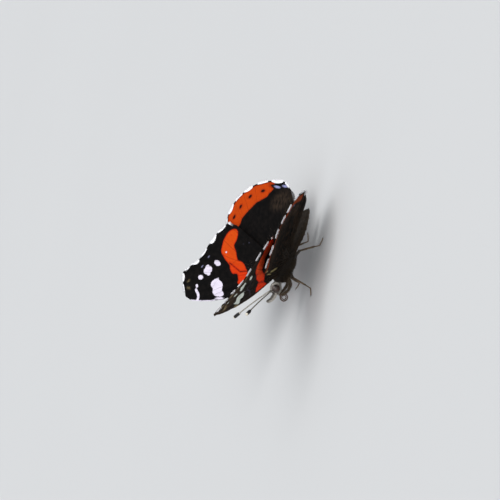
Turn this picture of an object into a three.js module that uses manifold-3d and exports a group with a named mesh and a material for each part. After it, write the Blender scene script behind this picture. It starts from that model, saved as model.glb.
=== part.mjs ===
// A red admiral butterfly as a still, life-size model. It stands on four legs with its wings
// raised and half open. Millimetres, +Z up, head towards -Y, the animal's left towards +X.
import * as THREE from 'three';
import { mergeVertices } from 'three/addons/utils/BufferGeometryUtils.js';
import Module from 'manifold-3d';

const wasm = await Module();
wasm.setup();

// Stance
const BODY_HEIGHT = 5.6;
const BODY_PITCH = 7;
const GAP = 0.3;

// Membrane, veins and margin
const MEMBRANE = 0.5;
const MARGIN_MEMBRANE = 0.42;
const VEIN_RISE = 0.16;
const VEIN_FOOT = 0.34;
const CELL_STEP = 0.45;
const WING_STEPS = [0, 0.1, 0.21, 0.33, CELL_STEP, 0.56, 0.68, 0.8, 0.91, 1];

// How each wing is held: where its root sits, its rise, twist and sweep in degrees, its bend
// along its length, and how far its front part curls up
const CAMBER_START = 4;
const WING_HOLD = {
  forewing_left: { side: 1, root: [1.8, 2.6, 1.1], rise: 31.3, twist: 8.6, sweep: -7.4,
    bend: -2.5, camber: 1.85 },
  forewing_right: { side: -1, root: [1.8, 2.6, 1.1], rise: 31.8, twist: -9.2, sweep: -16.1,
    bend: 0, camber: 0 },
  hindwing_left: { side: 1, root: [1.6, -0.8, 0.5], rise: 30.1, twist: 5.7, sweep: 15.4,
    bend: -3.6, camber: 0 },
  hindwing_right: { side: -1, root: [1.6, -0.8, 0.5], rise: 31.6, twist: -0.3, sweep: 7.9,
    bend: 0, camber: 0 },
};

// Forewing: root chord, then for each vein its way point at the end of the cell and its end
const FORE_ROOT = { front: [-0.6, 0.9], back: [-0.6, -1.3] };
const FORE_VEINS = [
  { name: 'costa', way: [6.2, 8.2], end: [12.3, 13.6], edge: true },
  { name: 'subcosta', way: [7.6, 8.3], end: [15.8, 15.7], from: 0 },
  { name: 'radius_1', way: [9.6, 8.6], end: [19.2, 17.4], from: 0.45 },
  { name: 'radius_2', way: [11.4, 9.0], end: [22.2, 18.6], from: 0.56 },
  { name: 'radius_3', way: [12.8, 9.2], end: [24.6, 18.6], from: 0.56 },
  { name: 'radius_5', way: [13.9, 8.7], end: [27.0, 16.4], from: 0 },
  { name: 'media_1', way: [14.3, 7.6], end: [28.3, 13.9], from: 0.45, dip: 0.35 },
  { name: 'media_2', way: [14.1, 6.3], end: [26.7, 11.6], from: 0.45, dip: 0.3 },
  { name: 'media_3', way: [13.6, 5.1], end: [24.6, 8.6], from: 0.45, dip: 0.35 },
  { name: 'cubitus_1', way: [12.7, 3.8], end: [23.6, 4.9], from: 0, dip: 0.35 },
  { name: 'cubitus_2', way: [10.6, 2.0], end: [22.3, 1.2], from: 0.33, dip: 0.35 },
  { name: 'anal_2', way: [7.6, -1.2], end: [20.3, -2.2], from: 0, dip: 0.2 },
  { name: 'inner_edge', way: [7.0, -2.2], end: [17.6, -3.2], edge: true },
];

// Hindwing, told in the same way
const HIND_ROOT = { front: [-0.5, 0.6], back: [-0.5, -1.5] };
const HIND_VEINS = [
  { name: 'costa', way: [6.0, 2.8], end: [13.2, 2.4], edge: true },
  { name: 'subcosta', way: [8.2, 1.6], end: [18.2, 0.2], from: 0, swell: 0.35 },
  { name: 'sector', way: [9.6, 0.4], end: [20.6, -3.6], from: 0, swell: 0.3 },
  { name: 'media_1', way: [10.3, -1.2], end: [21.3, -7.3], from: 0.45 },
  { name: 'media_2', way: [10.3, -2.9], end: [20.1, -10.8], from: 0.45 },
  { name: 'media_3', way: [9.7, -4.5], end: [17.9, -13.3], from: 0.45 },
  { name: 'cubitus_1', way: [8.7, -5.9], end: [14.6, -15.5], from: 0 },
  { name: 'cubitus_2', way: [6.9, -7.0], end: [10.0, -16.8], from: 0.33 },
  { name: 'anal_2', way: [3.9, -7.4], end: [5.2, -16.9], from: 0 },
  { name: 'anal_3', way: [1.8, -7.0], end: [2.7, -15.4], from: 0.33 },
  { name: 'inner_edge', way: [-0.2, -5.8], end: [0.1, -12.4], edge: true, swell: 0.3 },
];
const HIND_TUCK = 0.5;

// Body rings: place along the body, height of the centre, half width, half height
const THORAX_RINGS = [
  [-5.45, 0.15, 0.95, 0.95],
  [-4.9, 0.2, 1.55, 1.55],
  [-3.9, 0.25, 2.0, 2.05],
  [-2.2, 0.2, 2.25, 2.35],
  [-0.4, 0.1, 2.2, 2.3],
  [1.1, 0.0, 1.85, 1.9],
  [2.1, -0.1, 1.2, 1.25],
];
const HEAD_RINGS = [
  [-8.2, -0.1, 0.3, 0.35],
  [-7.95, -0.05, 0.72, 0.78],
  [-7.5, 0.05, 1.08, 1.1],
  [-6.9, 0.1, 1.28, 1.28],
  [-6.25, 0.15, 1.2, 1.15],
  [-5.75, 0.15, 0.9, 0.9],
];
const ABDOMEN_FRONT = 2.4;
const ABDOMEN_LENGTH = 9.9;
const ABDOMEN_HALF_WIDTH = 1.75;
const ABDOMEN_DROOP = 0.9;
const ABDOMEN_SEGMENTS = 8;
const SEGMENT_GROOVE = 0.1;

// Head parts
const EYE_PLACE = [0.95, -6.85, 0.3];
const EYE_RADII = [0.8, 0.88, 1.0];
const ANTENNA_ROOT = [0.55, -7.5, 0.9];
const ANTENNA_LENGTH = 12.8;
const ANTENNA_RADIUS = 0.26;
const CLUB_LENGTH = 2.3;
const CLUB_RADIUS = 0.5;
const ANTENNA_AIM = { left: { spread: 54, rise: 27 }, right: { spread: 42, rise: 20 } };

const COLOURS = {
  wing: 0x191512,
  fur: 0x3a2f24,
  chitin: 0x2a221c,
  eye: 0x3b2418,
  antenna: 0x16120f,
};

const rad = THREE.MathUtils.degToRad;

// Turn an indexed list of vertices into a geometry
function geometryOf(vertices, indices) {
  const geometry = new THREE.BufferGeometry();
  geometry.setAttribute('position', new THREE.Float32BufferAttribute(vertices, 3));
  geometry.setIndex(indices);
  return geometry;
}

// A closed geometry as a solid, and back again
function solidOf(geometry) {
  let source = geometry.clone();
  source.deleteAttribute('normal');
  source.deleteAttribute('uv');
  source = mergeVertices(source, 1e-5);
  return new wasm.Manifold(new wasm.Mesh({
    numProp: 3,
    vertProperties: new Float32Array(source.attributes.position.array),
    triVerts: new Uint32Array(source.index.array),
  }));
}

function largest(solid) {
  const pieces = solid.decompose();
  return pieces.reduce((a, b) => (a.volume() > b.volume() ? a : b));
}

function geometryFrom(solid) {
  const mesh = largest(solid).getMesh();
  return geometryOf(Array.from(mesh.vertProperties), Array.from(mesh.triVerts));
}

// Rings of equal count joined into one closed skin, with a flat cap at each end
function loft(rings) {
  const count = rings[0].length;
  const vertices = [];
  const indices = [];
  rings.forEach((ring) => ring.forEach((point) => vertices.push(point.x, point.y, point.z)));
  for (let i = 0; i < rings.length - 1; i += 1) {
    for (let j = 0; j < count; j += 1) {
      const a = i * count + j;
      const b = i * count + ((j + 1) % count);
      indices.push(a, b, b + count, a, b + count, a + count);
    }
  }
  const last = (rings.length - 1) * count;
  for (let j = 1; j < count - 1; j += 1) {
    indices.push(0, j + 1, j);
    indices.push(last, last + j, last + j + 1);
  }
  return geometryOf(vertices, indices);
}

// An upright oval ring across the body, grown by a margin
function bodyRing([y, z, halfWidth, halfHeight], grow, count) {
  const ring = [];
  for (let j = 0; j < count; j += 1) {
    const angle = (j / count) * Math.PI * 2;
    ring.push(new THREE.Vector3(
      Math.cos(angle) * (halfWidth + grow),
      y,
      z - Math.sin(angle) * (halfHeight + grow),
    ));
  }
  return ring;
}

function bodyLoft(rings, grow, count) {
  const rows = rings.map((row) => [...row]);
  rows[0][0] -= grow;
  rows[rows.length - 1][0] += grow;
  return loft(rows.map((row) => bodyRing(row, grow, count)));
}

// A tapered tube along a smooth curve
function tube(points, radii, steps, sides) {
  const curve = new THREE.CatmullRomCurve3(points.map((p) => new THREE.Vector3(...p)), false,
    'centripetal');
  const frames = curve.computeFrenetFrames(steps, false);
  const rings = [];
  for (let i = 0; i <= steps; i += 1) {
    const t = i / steps;
    const centre = curve.getPointAt(t);
    const place = t * (radii.length - 1);
    const k = Math.min(Math.floor(place), radii.length - 2);
    const radius = THREE.MathUtils.lerp(radii[k], radii[k + 1], place - k);
    const ring = [];
    for (let j = 0; j < sides; j += 1) {
      const angle = ((j + 0.5) / sides) * Math.PI * 2;
      ring.push(centre.clone()
        .addScaledVector(frames.normals[i], Math.cos(angle) * radius)
        .addScaledVector(frames.binormals[i], Math.sin(angle) * radius));
    }
    rings.push(ring);
  }
  return loft(rings);
}

function ellipsoid(centre, radii, grow) {
  const geometry = new THREE.SphereGeometry(1, 16, 10);
  geometry.scale(radii[0] + grow, radii[1] + grow, radii[2] + grow);
  geometry.translate(...centre);
  return geometry;
}

const mirrorX = (point, side) => [point[0] * side, point[1], point[2]];
const lerp2 = (a, b, t) => [a[0] + (b[0] - a[0]) * t, a[1] + (b[1] - a[1]) * t];

// One line of the wing from its root through a way point to its end on the margin
function wingLine(root, way, end, t) {
  if (t <= CELL_STEP) return lerp2(root, way, t / CELL_STEP);
  return lerp2(way, end, (t - CELL_STEP) / (1 - CELL_STEP));
}

// The lines across a wing, front to back: edges, vein feet and crests, and mid lines
function wingLines(chord, veins) {
  const lines = [];
  const last = veins.length - 1;
  const rootAt = (index) => lerp2(chord.front, chord.back, index / last);
  const towards = (a, b, distance) => {
    const length = Math.hypot(b[0] - a[0], b[1] - a[1]);
    return lerp2(a, b, Math.min(distance / length, 0.4));
  };
  veins.forEach((vein, i) => {
    const before = veins[i - 1];
    const after = veins[i + 1];
    if (i > 0) {
      const dip = -(after ? (before.dip ?? 0) : 0) + (vein.swell ?? 0);
      const dx = vein.end[0] - before.end[0];
      const dy = vein.end[1] - before.end[1];
      const length = Math.hypot(dx, dy);
      const middle = lerp2(before.end, vein.end, 0.5);
      lines.push({
        root: rootAt(i - 0.5),
        way: lerp2(before.way, vein.way, 0.5),
        end: [middle[0] - (dy / length) * dip, middle[1] + (dx / length) * dip],
        crest: () => 0,
      });
    }
    if (vein.edge) {
      lines.push({ root: rootAt(i), way: vein.way, end: vein.end, crest: () => 0 });
      return;
    }
    const foot = VEIN_FOOT / 2;
    const rise = (t) => (t >= vein.from ? Math.min(1, 0.25 + t * 2.2) * (t > 0.95 ? 0.4 : 1) : 0);
    lines.push({
      root: rootAt(i - 0.12),
      way: towards(vein.way, before.way, foot),
      end: towards(vein.end, before.end, foot),
      crest: () => 0,
    });
    lines.push({ root: rootAt(i), way: vein.way, end: vein.end, crest: rise });
    lines.push({
      root: rootAt(i + 0.12),
      way: towards(vein.way, after.way, foot),
      end: towards(vein.end, after.end, foot),
      crest: () => 0,
    });
  });
  return lines;
}

// Place a wing point, given outward, forward and off the membrane, as the wing is held
function wingPlace(hold, x, y, off, tuck) {
  const rise = rad(hold.rise);
  const twist = rad(hold.twist);
  const sweep = rad(hold.sweep);
  const out = Math.cos(sweep) * x - Math.sin(sweep) * y;
  const fore = Math.sin(sweep) * x + Math.cos(sweep) * y;
  const curl = hold.camber * (Math.max(0, fore - CAMBER_START) / 10) ** 2;
  const lift = off + hold.bend * (out / 25) ** 2 + curl
    - tuck * THREE.MathUtils.smoothstep(fore, -5, 1);
  const along = [Math.cos(rise), -Math.sin(twist) * Math.sin(rise),
    Math.cos(twist) * Math.sin(rise)];
  const ahead = [0, Math.cos(twist), Math.sin(twist)];
  const normal = [-Math.sin(rise), -Math.sin(twist) * Math.cos(rise),
    Math.cos(twist) * Math.cos(rise)];
  const at = (k) => hold.root[k] + out * along[k] + fore * ahead[k] + lift * normal[k];
  return [hold.side * at(0), -at(1), at(2)];
}

// A wing as one closed body: both faces share one grid, and the veins stand up on each
function wingGeometry(hold, chord, veins, tuck) {
  const lines = wingLines(chord, veins);
  const rows = WING_STEPS.length;
  const columns = lines.length;
  const vertices = [];
  const indices = [];
  const cellFront = veins.findIndex((vein) => /radius_5|sector/.test(vein.name));
  const cellBack = veins.findIndex((vein) => vein.name === 'cubitus_1');
  const inCell = (line) => line.root[1] <= lerp2(chord.front, chord.back,
    cellFront / (veins.length - 1))[1]
    && line.root[1] >= lerp2(chord.front, chord.back, cellBack / (veins.length - 1))[1];
  [1, -1].forEach((face) => {
    lines.forEach((line) => {
      WING_STEPS.forEach((t) => {
        const [x, y] = wingLine(line.root, line.way, line.end, t);
        const closing = t === CELL_STEP && inCell(line) ? 0.7 : 0;
        const crest = VEIN_RISE * Math.max(line.crest(t), closing);
        const half = THREE.MathUtils.lerp(MEMBRANE, MARGIN_MEMBRANE, t) / 2;
        vertices.push(...wingPlace(hold, x, y, face * (half + crest), tuck));
      });
    });
  });
  const lower = rows * columns;
  const flip = hold.side > 0;
  const push = (a, b, c) => indices.push(...(flip ? [a, c, b] : [a, b, c]));
  for (let i = 0; i < columns - 1; i += 1) {
    for (let j = 0; j < rows - 1; j += 1) {
      const a = i * rows + j;
      const b = a + rows;
      push(a, b, b + 1);
      push(a, b + 1, a + 1);
      push(lower + a, lower + b + 1, lower + b);
      push(lower + a, lower + a + 1, lower + b + 1);
    }
  }
  const border = [];
  for (let j = 0; j < rows; j += 1) border.push(j);
  for (let i = 1; i < columns; i += 1) border.push(i * rows + rows - 1);
  for (let j = rows - 2; j >= 0; j -= 1) border.push((columns - 1) * rows + j);
  for (let i = columns - 2; i > 0; i -= 1) border.push(i * rows);
  border.forEach((a, index) => {
    const b = border[(index + 1) % border.length];
    push(a, b, lower + b);
    push(a, lower + b, lower + a);
  });
  return geometryOf(vertices, indices);
}

// The abdomen: segments that swell a little between shallow grooves, tapering to the tip
function abdomenGeometry() {
  const rings = [];
  const steps = ABDOMEN_SEGMENTS * 2;
  for (let i = 0; i <= steps; i += 1) {
    const t = i / steps;
    const swell = Math.sin(Math.PI * Math.min(1, 0.22 + t * 0.8)) ** 0.62;
    const groove = i % 2 === 0 ? SEGMENT_GROOVE : 0;
    const radius = Math.max(0.28, ABDOMEN_HALF_WIDTH * swell - groove);
    rings.push([ABDOMEN_FRONT + ABDOMEN_LENGTH * t, -0.1 - ABDOMEN_DROOP * t ** 1.6, radius,
      radius * 1.05]);
  }
  rings[0][2] = 1.2;
  rings[0][3] = 1.25;
  return loft(rings.map((ring) => bodyRing(ring, 0, 14)));
}

const model = new THREE.Group();
const stance = new THREE.Group();
stance.rotation.x = -rad(BODY_PITCH);
stance.position.z = BODY_HEIGHT;
model.add(stance);

function addPart(parent, name, geometry, colour, roughness) {
  const material = new THREE.MeshStandardMaterial({ color: colour, roughness, metalness: 0 });
  geometry.computeVertexNormals();
  const mesh = new THREE.Mesh(geometry, material);
  mesh.name = name;
  parent.add(mesh);
}

// Thorax, with the space that its neighbours keep to
const thoraxSpace = solidOf(bodyLoft(THORAX_RINGS, GAP, 18));
addPart(stance, 'thorax', bodyLoft(THORAX_RINGS, 0, 18), COLOURS.fur, 0.9);
addPart(stance, 'abdomen', abdomenGeometry(), COLOURS.fur, 0.85);

// Head, with a flat-floored socket on each side for the eye
const headSpace = solidOf(bodyLoft(HEAD_RINGS, GAP, 16));
let headSolid = solidOf(bodyLoft(HEAD_RINGS, 0, 16));
[1, -1].forEach((side) => {
  const socket = solidOf(ellipsoid(mirrorX(EYE_PLACE, side), EYE_RADII, GAP))
    .trimByPlane([side, 0, 0], EYE_PLACE[0] - GAP);
  headSolid = headSolid.subtract(socket);
  const eye = solidOf(ellipsoid(mirrorX(EYE_PLACE, side), EYE_RADII, 0))
    .trimByPlane([side, 0, 0], EYE_PLACE[0]);
  addPart(stance, side > 0 ? 'eye_left' : 'eye_right', geometryFrom(eye), COLOURS.eye, 0.3);
});
addPart(stance, 'head', geometryFrom(headSolid), COLOURS.fur, 0.9);

// Palps, the coiled tongue and the antennae, cut back to the head's space
[1, -1].forEach((side) => {
  const label = side > 0 ? 'left' : 'right';
  const palp = tube(
    [[0.42, -7.4, -0.1], [0.5, -8.7, 0.0], [0.45, -9.6, 0.35], [0.4, -10.3, 0.95]]
      .map((point) => mirrorX(point, side)),
    [0.3, 0.34, 0.3, 0.16], 8, 8);
  addPart(stance, `palp_${label}`, geometryFrom(solidOf(palp).subtract(headSpace)),
    COLOURS.fur, 0.9);
  const aim = ANTENNA_AIM[label];
  const spread = rad(aim.spread);
  const rise = rad(aim.rise);
  const direction = [Math.sin(spread) * Math.cos(rise) * side,
    -Math.cos(spread) * Math.cos(rise), Math.sin(rise)];
  const start = mirrorX(ANTENNA_ROOT, side);
  const along = (distance) => start.map((value, k) => value + direction[k] * distance);
  const stops = [-0.8, 4, ANTENNA_LENGTH - CLUB_LENGTH, ANTENNA_LENGTH];
  const radii = [];
  for (let i = 0; i <= 24; i += 1) {
    const distance = stops[0] + (ANTENNA_LENGTH - stops[0]) * (i / 24);
    const club = (distance - (ANTENNA_LENGTH - CLUB_LENGTH)) / CLUB_LENGTH;
    const bulge = club > 0 ? Math.sin(Math.PI * Math.min(0.93, club * 0.93)) : 0;
    radii.push(ANTENNA_RADIUS + (CLUB_RADIUS - ANTENNA_RADIUS) * bulge);
  }
  const antenna = tube(stops.map(along), radii, 24, 6);
  addPart(stance, `antenna_${label}`, geometryFrom(solidOf(antenna).subtract(headSpace)),
    COLOURS.antenna, 0.6);
});

const tongue = [];
const TONGUE_CENTRE = [0, -8.1, -2.35];
for (let i = 0; i <= 12; i += 1) {
  const turn = rad(60 + i * 40);
  const reach = 0.95 - i * 0.045;
  tongue.push([0, TONGUE_CENTRE[1] + Math.cos(turn) * reach * 1.05,
    TONGUE_CENTRE[2] + Math.sin(turn) * reach]);
}
tongue.unshift([0, -7.3, -0.9]);
const tongueTube = tube(tongue.slice(0, 9), [0.26, 0.26, 0.25, 0.24], 20, 6);
addPart(stance, 'proboscis', geometryFrom(solidOf(tongueTube).subtract(headSpace)),
  COLOURS.chitin, 0.5);

// Wings, cut back to the thorax's space at the root
Object.entries(WING_HOLD).forEach(([name, hold]) => {
  const fore = name.startsWith('fore');
  const wing = wingGeometry(hold, fore ? FORE_ROOT : HIND_ROOT, fore ? FORE_VEINS : HIND_VEINS,
    fore ? 0 : HIND_TUCK);
  addPart(stance, name, geometryFrom(solidOf(wing).subtract(thoraxSpace)), COLOURS.wing, 0.85);
});

// Legs: hips in the body's own frame, knees and feet over the level floor
const toFloor = new THREE.Matrix4().makeRotationX(-rad(BODY_PITCH))
  .setPosition(0, 0, BODY_HEIGHT);
const thoraxOnFloor = thoraxSpace.transform(toFloor.elements);
const FOOT_CENTRE = 0.2;
const LEGS = {
  fore: { hip: [0.9, -3.4, -1.2], way: [[1.55, -4.9, -2.35], [1.75, -6.4, -2.2],
    [1.6, -7.6, -1.5]], radii: [0.34, 0.34, 0.28, 0.2], folded: true },
  mid: { hip: [0.9, -2.0, -1.2], way: [[3.6, -3.4, 4.1], [5.3, -4.4, 1.4],
    [5.9, -4.9, FOOT_CENTRE], [7.9, -6.3, FOOT_CENTRE]], radii: [0.42, 0.36, 0.3, 0.27, 0.24] },
  hind: { hip: [0.9, 0.2, -1.1], way: [[3.7, 2.7, 3.9], [5.4, 4.3, 1.3],
    [6.0, 4.9, FOOT_CENTRE], [7.9, 6.6, FOOT_CENTRE]], radii: [0.42, 0.36, 0.3, 0.27, 0.24] },
};
[1, -1].forEach((side) => {
  Object.entries(LEGS).forEach(([pair, leg]) => {
    const place = (point) => new THREE.Vector3(...point).applyMatrix4(toFloor).toArray();
    const hip = place(leg.hip);
    const way = leg.folded ? leg.way.map(place) : leg.way;
    const points = [hip, ...way].map((point) => mirrorX(point, side));
    const solid = solidOf(tube(points, leg.radii, leg.folded ? 8 : 16, 8))
      .subtract(thoraxOnFloor)
      .trimByPlane([0, 0, 1], 0);
    addPart(model, `leg_${pair}_${side > 0 ? 'left' : 'right'}`, geometryFrom(solid),
      COLOURS.chitin, 0.7);
  });
});

// Centre the model over its own footprint, with the feet on the floor
model.updateMatrixWorld(true);
const box = new THREE.Box3().setFromObject(model, true);
model.position.set(-(box.min.x + box.max.x) / 2, -(box.min.y + box.max.y) / 2, 0);
model.updateMatrixWorld(true);

export default model;
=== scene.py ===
"""A red admiral butterfly at life size, standing with its wings raised and half open.

Lengths are millimetres until a mesh is filled. The body's own frame has +Z up, the head towards
-Y and the animal's left towards +X. A wing's plan is told as (outward, forward).
"""

import sys
import logging
import math
from dataclasses import dataclass, field, replace
from enum import Enum
from typing import Sequence

import bpy
import numpy as np
from mathutils import Matrix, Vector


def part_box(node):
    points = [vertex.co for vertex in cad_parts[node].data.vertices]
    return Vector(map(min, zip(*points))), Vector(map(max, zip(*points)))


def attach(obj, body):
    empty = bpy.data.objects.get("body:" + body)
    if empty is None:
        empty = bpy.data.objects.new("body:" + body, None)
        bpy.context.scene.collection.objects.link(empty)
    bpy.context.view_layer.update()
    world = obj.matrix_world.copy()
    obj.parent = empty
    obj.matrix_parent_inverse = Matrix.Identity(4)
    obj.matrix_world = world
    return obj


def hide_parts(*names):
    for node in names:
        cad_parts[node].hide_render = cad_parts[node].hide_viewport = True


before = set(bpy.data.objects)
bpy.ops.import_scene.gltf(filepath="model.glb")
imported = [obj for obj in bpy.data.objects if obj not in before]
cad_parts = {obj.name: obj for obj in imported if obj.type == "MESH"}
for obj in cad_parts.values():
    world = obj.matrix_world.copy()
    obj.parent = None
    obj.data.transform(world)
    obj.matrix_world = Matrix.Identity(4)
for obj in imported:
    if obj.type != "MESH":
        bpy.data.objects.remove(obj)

log = logging.getLogger("red_admiral")

Array = np.ndarray
Pair = tuple[float, float]
Triple = tuple[float, float, float]
Colour = tuple[float, float, float, float]
Outline = tuple[Pair, ...]
Socket = bpy.types.NodeSocket
Mesh = bpy.types.Mesh
Material = bpy.types.Material
Piece = bpy.types.Object
Palette = dict[str, Material]
Fields = dict[str, Array]

MM = 0.001
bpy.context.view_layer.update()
TINY = 1e-9
UPRIGHT = np.array([0.0, 0.0, 1.0])


class Side(Enum):
    """The animal's own left or right."""

    LEFT = 1
    RIGHT = -1

    @property
    def word(self) -> str:
        """The side as a piece name ends."""
        return self.name.lower()

    @property
    def mirror(self) -> Array:
        """The factors that turn a left part's body points into this side's."""
        return np.array([self.value, 1, 1])


class Face(Enum):
    """The two faces of a wing."""

    UPPER = 1
    UNDER = -1


class LegPair(Enum):
    """The three pairs of legs."""

    FORE = "fore"
    MID = "mid"
    HIND = "hind"


def tint(red: int, green: int, blue: int) -> Colour:
    """A screen colour as the linear colour that a shader takes.

    Args:
        red: Red from 0 to 255.
        green: Green from 0 to 255.
        blue: Blue from 0 to 255.

    Returns:
        Red, green, blue and a full alpha.
    """
    parts = [value / 255 for value in (red, green, blue)]
    bent = [c / 12.92 if c <= 0.04045 else ((c + 0.055) / 1.055) ** 2.4 for c in parts]
    return (bent[0], bent[1], bent[2], 1.0)


def ease(values: Array, low: float, high: float) -> Array:
    """A smooth step from 0 at low to 1 at high.

    Args:
        values: What is stepped.
        low: Where the step starts.
        high: Where it ends.

    Returns:
        The stepped values.
    """
    t = np.clip((values - low) / (high - low), 0.0, 1.0)
    return t * t * (3 - 2 * t)


def hermite(share: Array, start: Array, leaving: Array, stop: Array, arriving: Array) -> Array:
    """A smooth run between two points.

    Args:
        share: The way gone, from 0 at the first point to 1 at the second.
        start: The first point.
        leaving: The slope with which the run leaves it.
        stop: The second point.
        arriving: The slope with which the run reaches it.

    Returns:
        The points on the run.
    """
    square, cube = share**2, share**3
    return (
        (2 * cube - 3 * square + 1) * start
        + (cube - 2 * square + share) * leaving
        + (3 * square - 2 * cube) * stop
        + (cube - square) * arriving
    )


def spline(knots: Sequence[float], values: Sequence, at: Array) -> Array:
    """A smooth curve through values at rising knots.

    Args:
        knots: Where the values stand.
        values: One number or point for each knot.
        at: Where the curve is read.

    Returns:
        One number or point for each place in at.
    """
    k = np.asarray(knots, float)
    v = np.asarray(values, float).reshape(len(k), -1)
    slope = np.gradient(v, k, axis=0)
    place = np.clip(at, k[0], k[-1])
    i = np.clip(np.searchsorted(k, place, side="right") - 1, 0, len(k) - 2)
    step = (k[i + 1] - k[i])[:, None]
    share = (place - k[i])[:, None] / step
    found = hermite(share, v[i], step * slope[i], v[i + 1], step * slope[i + 1])
    return found[:, 0] if np.asarray(values[0]).ndim == 0 else found


def unit(vectors: Array) -> Array:
    """The vectors at length one."""
    return vectors / np.maximum(np.linalg.norm(vectors, axis=-1, keepdims=True), TINY)


def distance_to_line(points: Array, line: Array) -> Array:
    """How far points lie from a chain of straight lengths.

    Args:
        points: Plan points, one a row.
        line: The chain's points.

    Returns:
        The shortest distance for each point.
    """
    best = np.full(len(points), np.inf)
    for a, b in zip(line[:-1], line[1:]):
        along = b - a
        t = np.clip(((points - a) @ along) / max(along @ along, TINY), 0, 1)
        best = np.minimum(best, np.hypot(*(points - a - t[:, None] * along).T))
    return best


def rounded(outline: Sequence[Pair], per: int = 5) -> Array:
    """A closed outline with its corners turned into curves.

    Args:
        outline: The corner points in order.
        per: Points made for each corner.

    Returns:
        The finer outline, whose last point repeats its first.
    """
    stops = np.asarray(outline, float)
    count = len(stops)
    loop = np.vstack([stops[-2:], stops, stops[:3]])
    at = np.linspace(0, count, count * per + 1)
    return spline(np.arange(-2, count + 3), loop, at)


def inside(points: Array, outline: Sequence[Pair]) -> Array:
    """How deep points lie inside a rounded outline.

    Args:
        points: Plan points, one a row.
        outline: The corner points.

    Returns:
        The distance to the outline, negative outside.
    """
    loop = rounded(outline)
    crossings = np.zeros(len(points), int)
    for a, b in zip(loop[:-1], loop[1:]):
        spans = (a[1] > points[:, 1]) != (b[1] > points[:, 1])
        rise = b[1] - a[1] if abs(b[1] - a[1]) > TINY else TINY
        cut = a[0] + (points[:, 1] - a[1]) * (b[0] - a[0]) / rise
        crossings += spans & (points[:, 0] < cut)
    return distance_to_line(points, loop) * np.where(crossings % 2 == 1, 1, -1)


def in_oval(points: Array, centre: Pair, half: Pair, turn: float = 0.0) -> Array:
    """How deep points lie inside an oval.

    Args:
        points: Plan points, one a row.
        centre: The oval's middle.
        half: Its half length and half width.
        turn: How far its length is turned from outward, in degrees.

    Returns:
        The distance to its edge, negative outside.
    """
    c, s = math.cos(math.radians(turn)), math.sin(math.radians(turn))
    x, y = points[:, 0] - centre[0], points[:, 1] - centre[1]
    p = np.hypot((c * x + s * y) / half[0], (c * y - s * x) / half[1])
    return (1 - p) * min(half)


def deselect() -> None:
    """Leave nothing selected, so that an operator acts on new geometry alone."""
    if bpy.context.mode != "OBJECT":
        bpy.ops.object.mode_set(mode="OBJECT")
    bpy.ops.object.select_all(action="DESELECT")


def named(obj: Piece, name: str) -> Piece:
    """Name an object and its mesh.

    Args:
        obj: The object.
        name: The name that both get.

    Returns:
        The same object.
    """
    obj.name = name
    obj.data.name = name
    return obj


def corners(mesh: Mesh) -> Array:
    """A mesh's vertices as rows.

    Args:
        mesh: The mesh.

    Returns:
        One row for each vertex.
    """
    flat = np.empty(len(mesh.vertices) * 3)
    mesh.vertices.foreach_get("co", flat)
    return flat.reshape(-1, 3)


def move_to(mesh: Mesh, world: Array) -> None:
    """Put a mesh's vertices at world places in millimetres."""
    mesh.vertices.foreach_set("co", np.ascontiguousarray(world * MM, np.float32).ravel())
    mesh.update()


def put_field(mesh: Mesh, name: str, values: Array) -> None:
    """Store one number a vertex under a name that a finish reads."""
    layer = mesh.attributes.new(name, "FLOAT", "POINT")
    layer.data.foreach_set("value", np.ascontiguousarray(values, np.float32))


def read_field(mesh: Mesh, name: str) -> Array:
    """The numbers stored on a mesh.

    Args:
        mesh: The mesh.
        name: The name that they are stored under.

    Returns:
        One number for each vertex.
    """
    values = np.empty(len(mesh.vertices), np.float32)
    mesh.attributes[name].data.foreach_get("value", values)
    return values


def put_uv(mesh: Mesh, name: str, uv: Array) -> None:
    """Store a UV map given one place a vertex.

    Args:
        mesh: The mesh that gets the map.
        name: The map's name.
        uv: One place for each vertex.
    """
    loops = np.empty(len(mesh.loops), np.int32)
    mesh.loops.foreach_get("vertex_index", loops)
    layer = mesh.uv_layers.get(name) or mesh.uv_layers.new(name=name)
    layer.data.foreach_set("uv", np.ascontiguousarray(uv[loops], np.float32).ravel())


def drop_uvs(mesh: Mesh) -> None:
    """Remove the maps that a primitive came with."""
    while mesh.uv_layers:
        mesh.uv_layers.remove(mesh.uv_layers[0])


def triangle_mesh(name: str, world: Array, triangles: Array) -> Piece:
    """Many small shapes joined as one mesh from arrays.

    Args:
        name: The piece's name.
        world: Vertices at world places in millimetres.
        triangles: Three vertex numbers a row.

    Returns:
        The new object.
    """
    mesh = bpy.data.meshes.new(name)
    mesh.vertices.add(len(world))
    mesh.loops.add(triangles.size)
    mesh.polygons.add(len(triangles))
    mesh.vertices.foreach_set("co", np.ascontiguousarray(world * MM, np.float32).ravel())
    mesh.loops.foreach_set("vertex_index", np.ascontiguousarray(triangles, np.int32).ravel())
    mesh.polygons.foreach_set("loop_start", np.arange(0, triangles.size, 3, dtype=np.int32))
    mesh.polygons.foreach_set("use_smooth", np.ones(len(triangles), bool))
    mesh.update(calc_edges=True)
    obj = bpy.data.objects.new(name, mesh)
    bpy.context.scene.collection.objects.link(obj)
    return obj


def ball_grid(name: str, segments: int, rings: int) -> tuple[Piece, Array, Array]:
    """Add a ball whose vertices are told by ring and turn, to be shaped into a round part.

    Args:
        name: The piece's name.
        segments: Vertices round each ring.
        rings: Steps from pole to pole.

    Returns:
        The object, each vertex's ring from 0 to rings, and its turn in radians.
    """
    deselect()
    bpy.ops.mesh.primitive_uv_sphere_add(segments=segments, ring_count=rings, radius=1)
    obj = named(bpy.context.object, name)
    drop_uvs(obj.data)
    co = corners(obj.data)
    ring = rings - np.round(np.arccos(np.clip(co[:, 2], -1, 1)) / math.pi * rings)
    bpy.ops.object.shade_smooth()
    return obj, ring.astype(int), np.arctan2(co[:, 1], co[:, 0])


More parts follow.
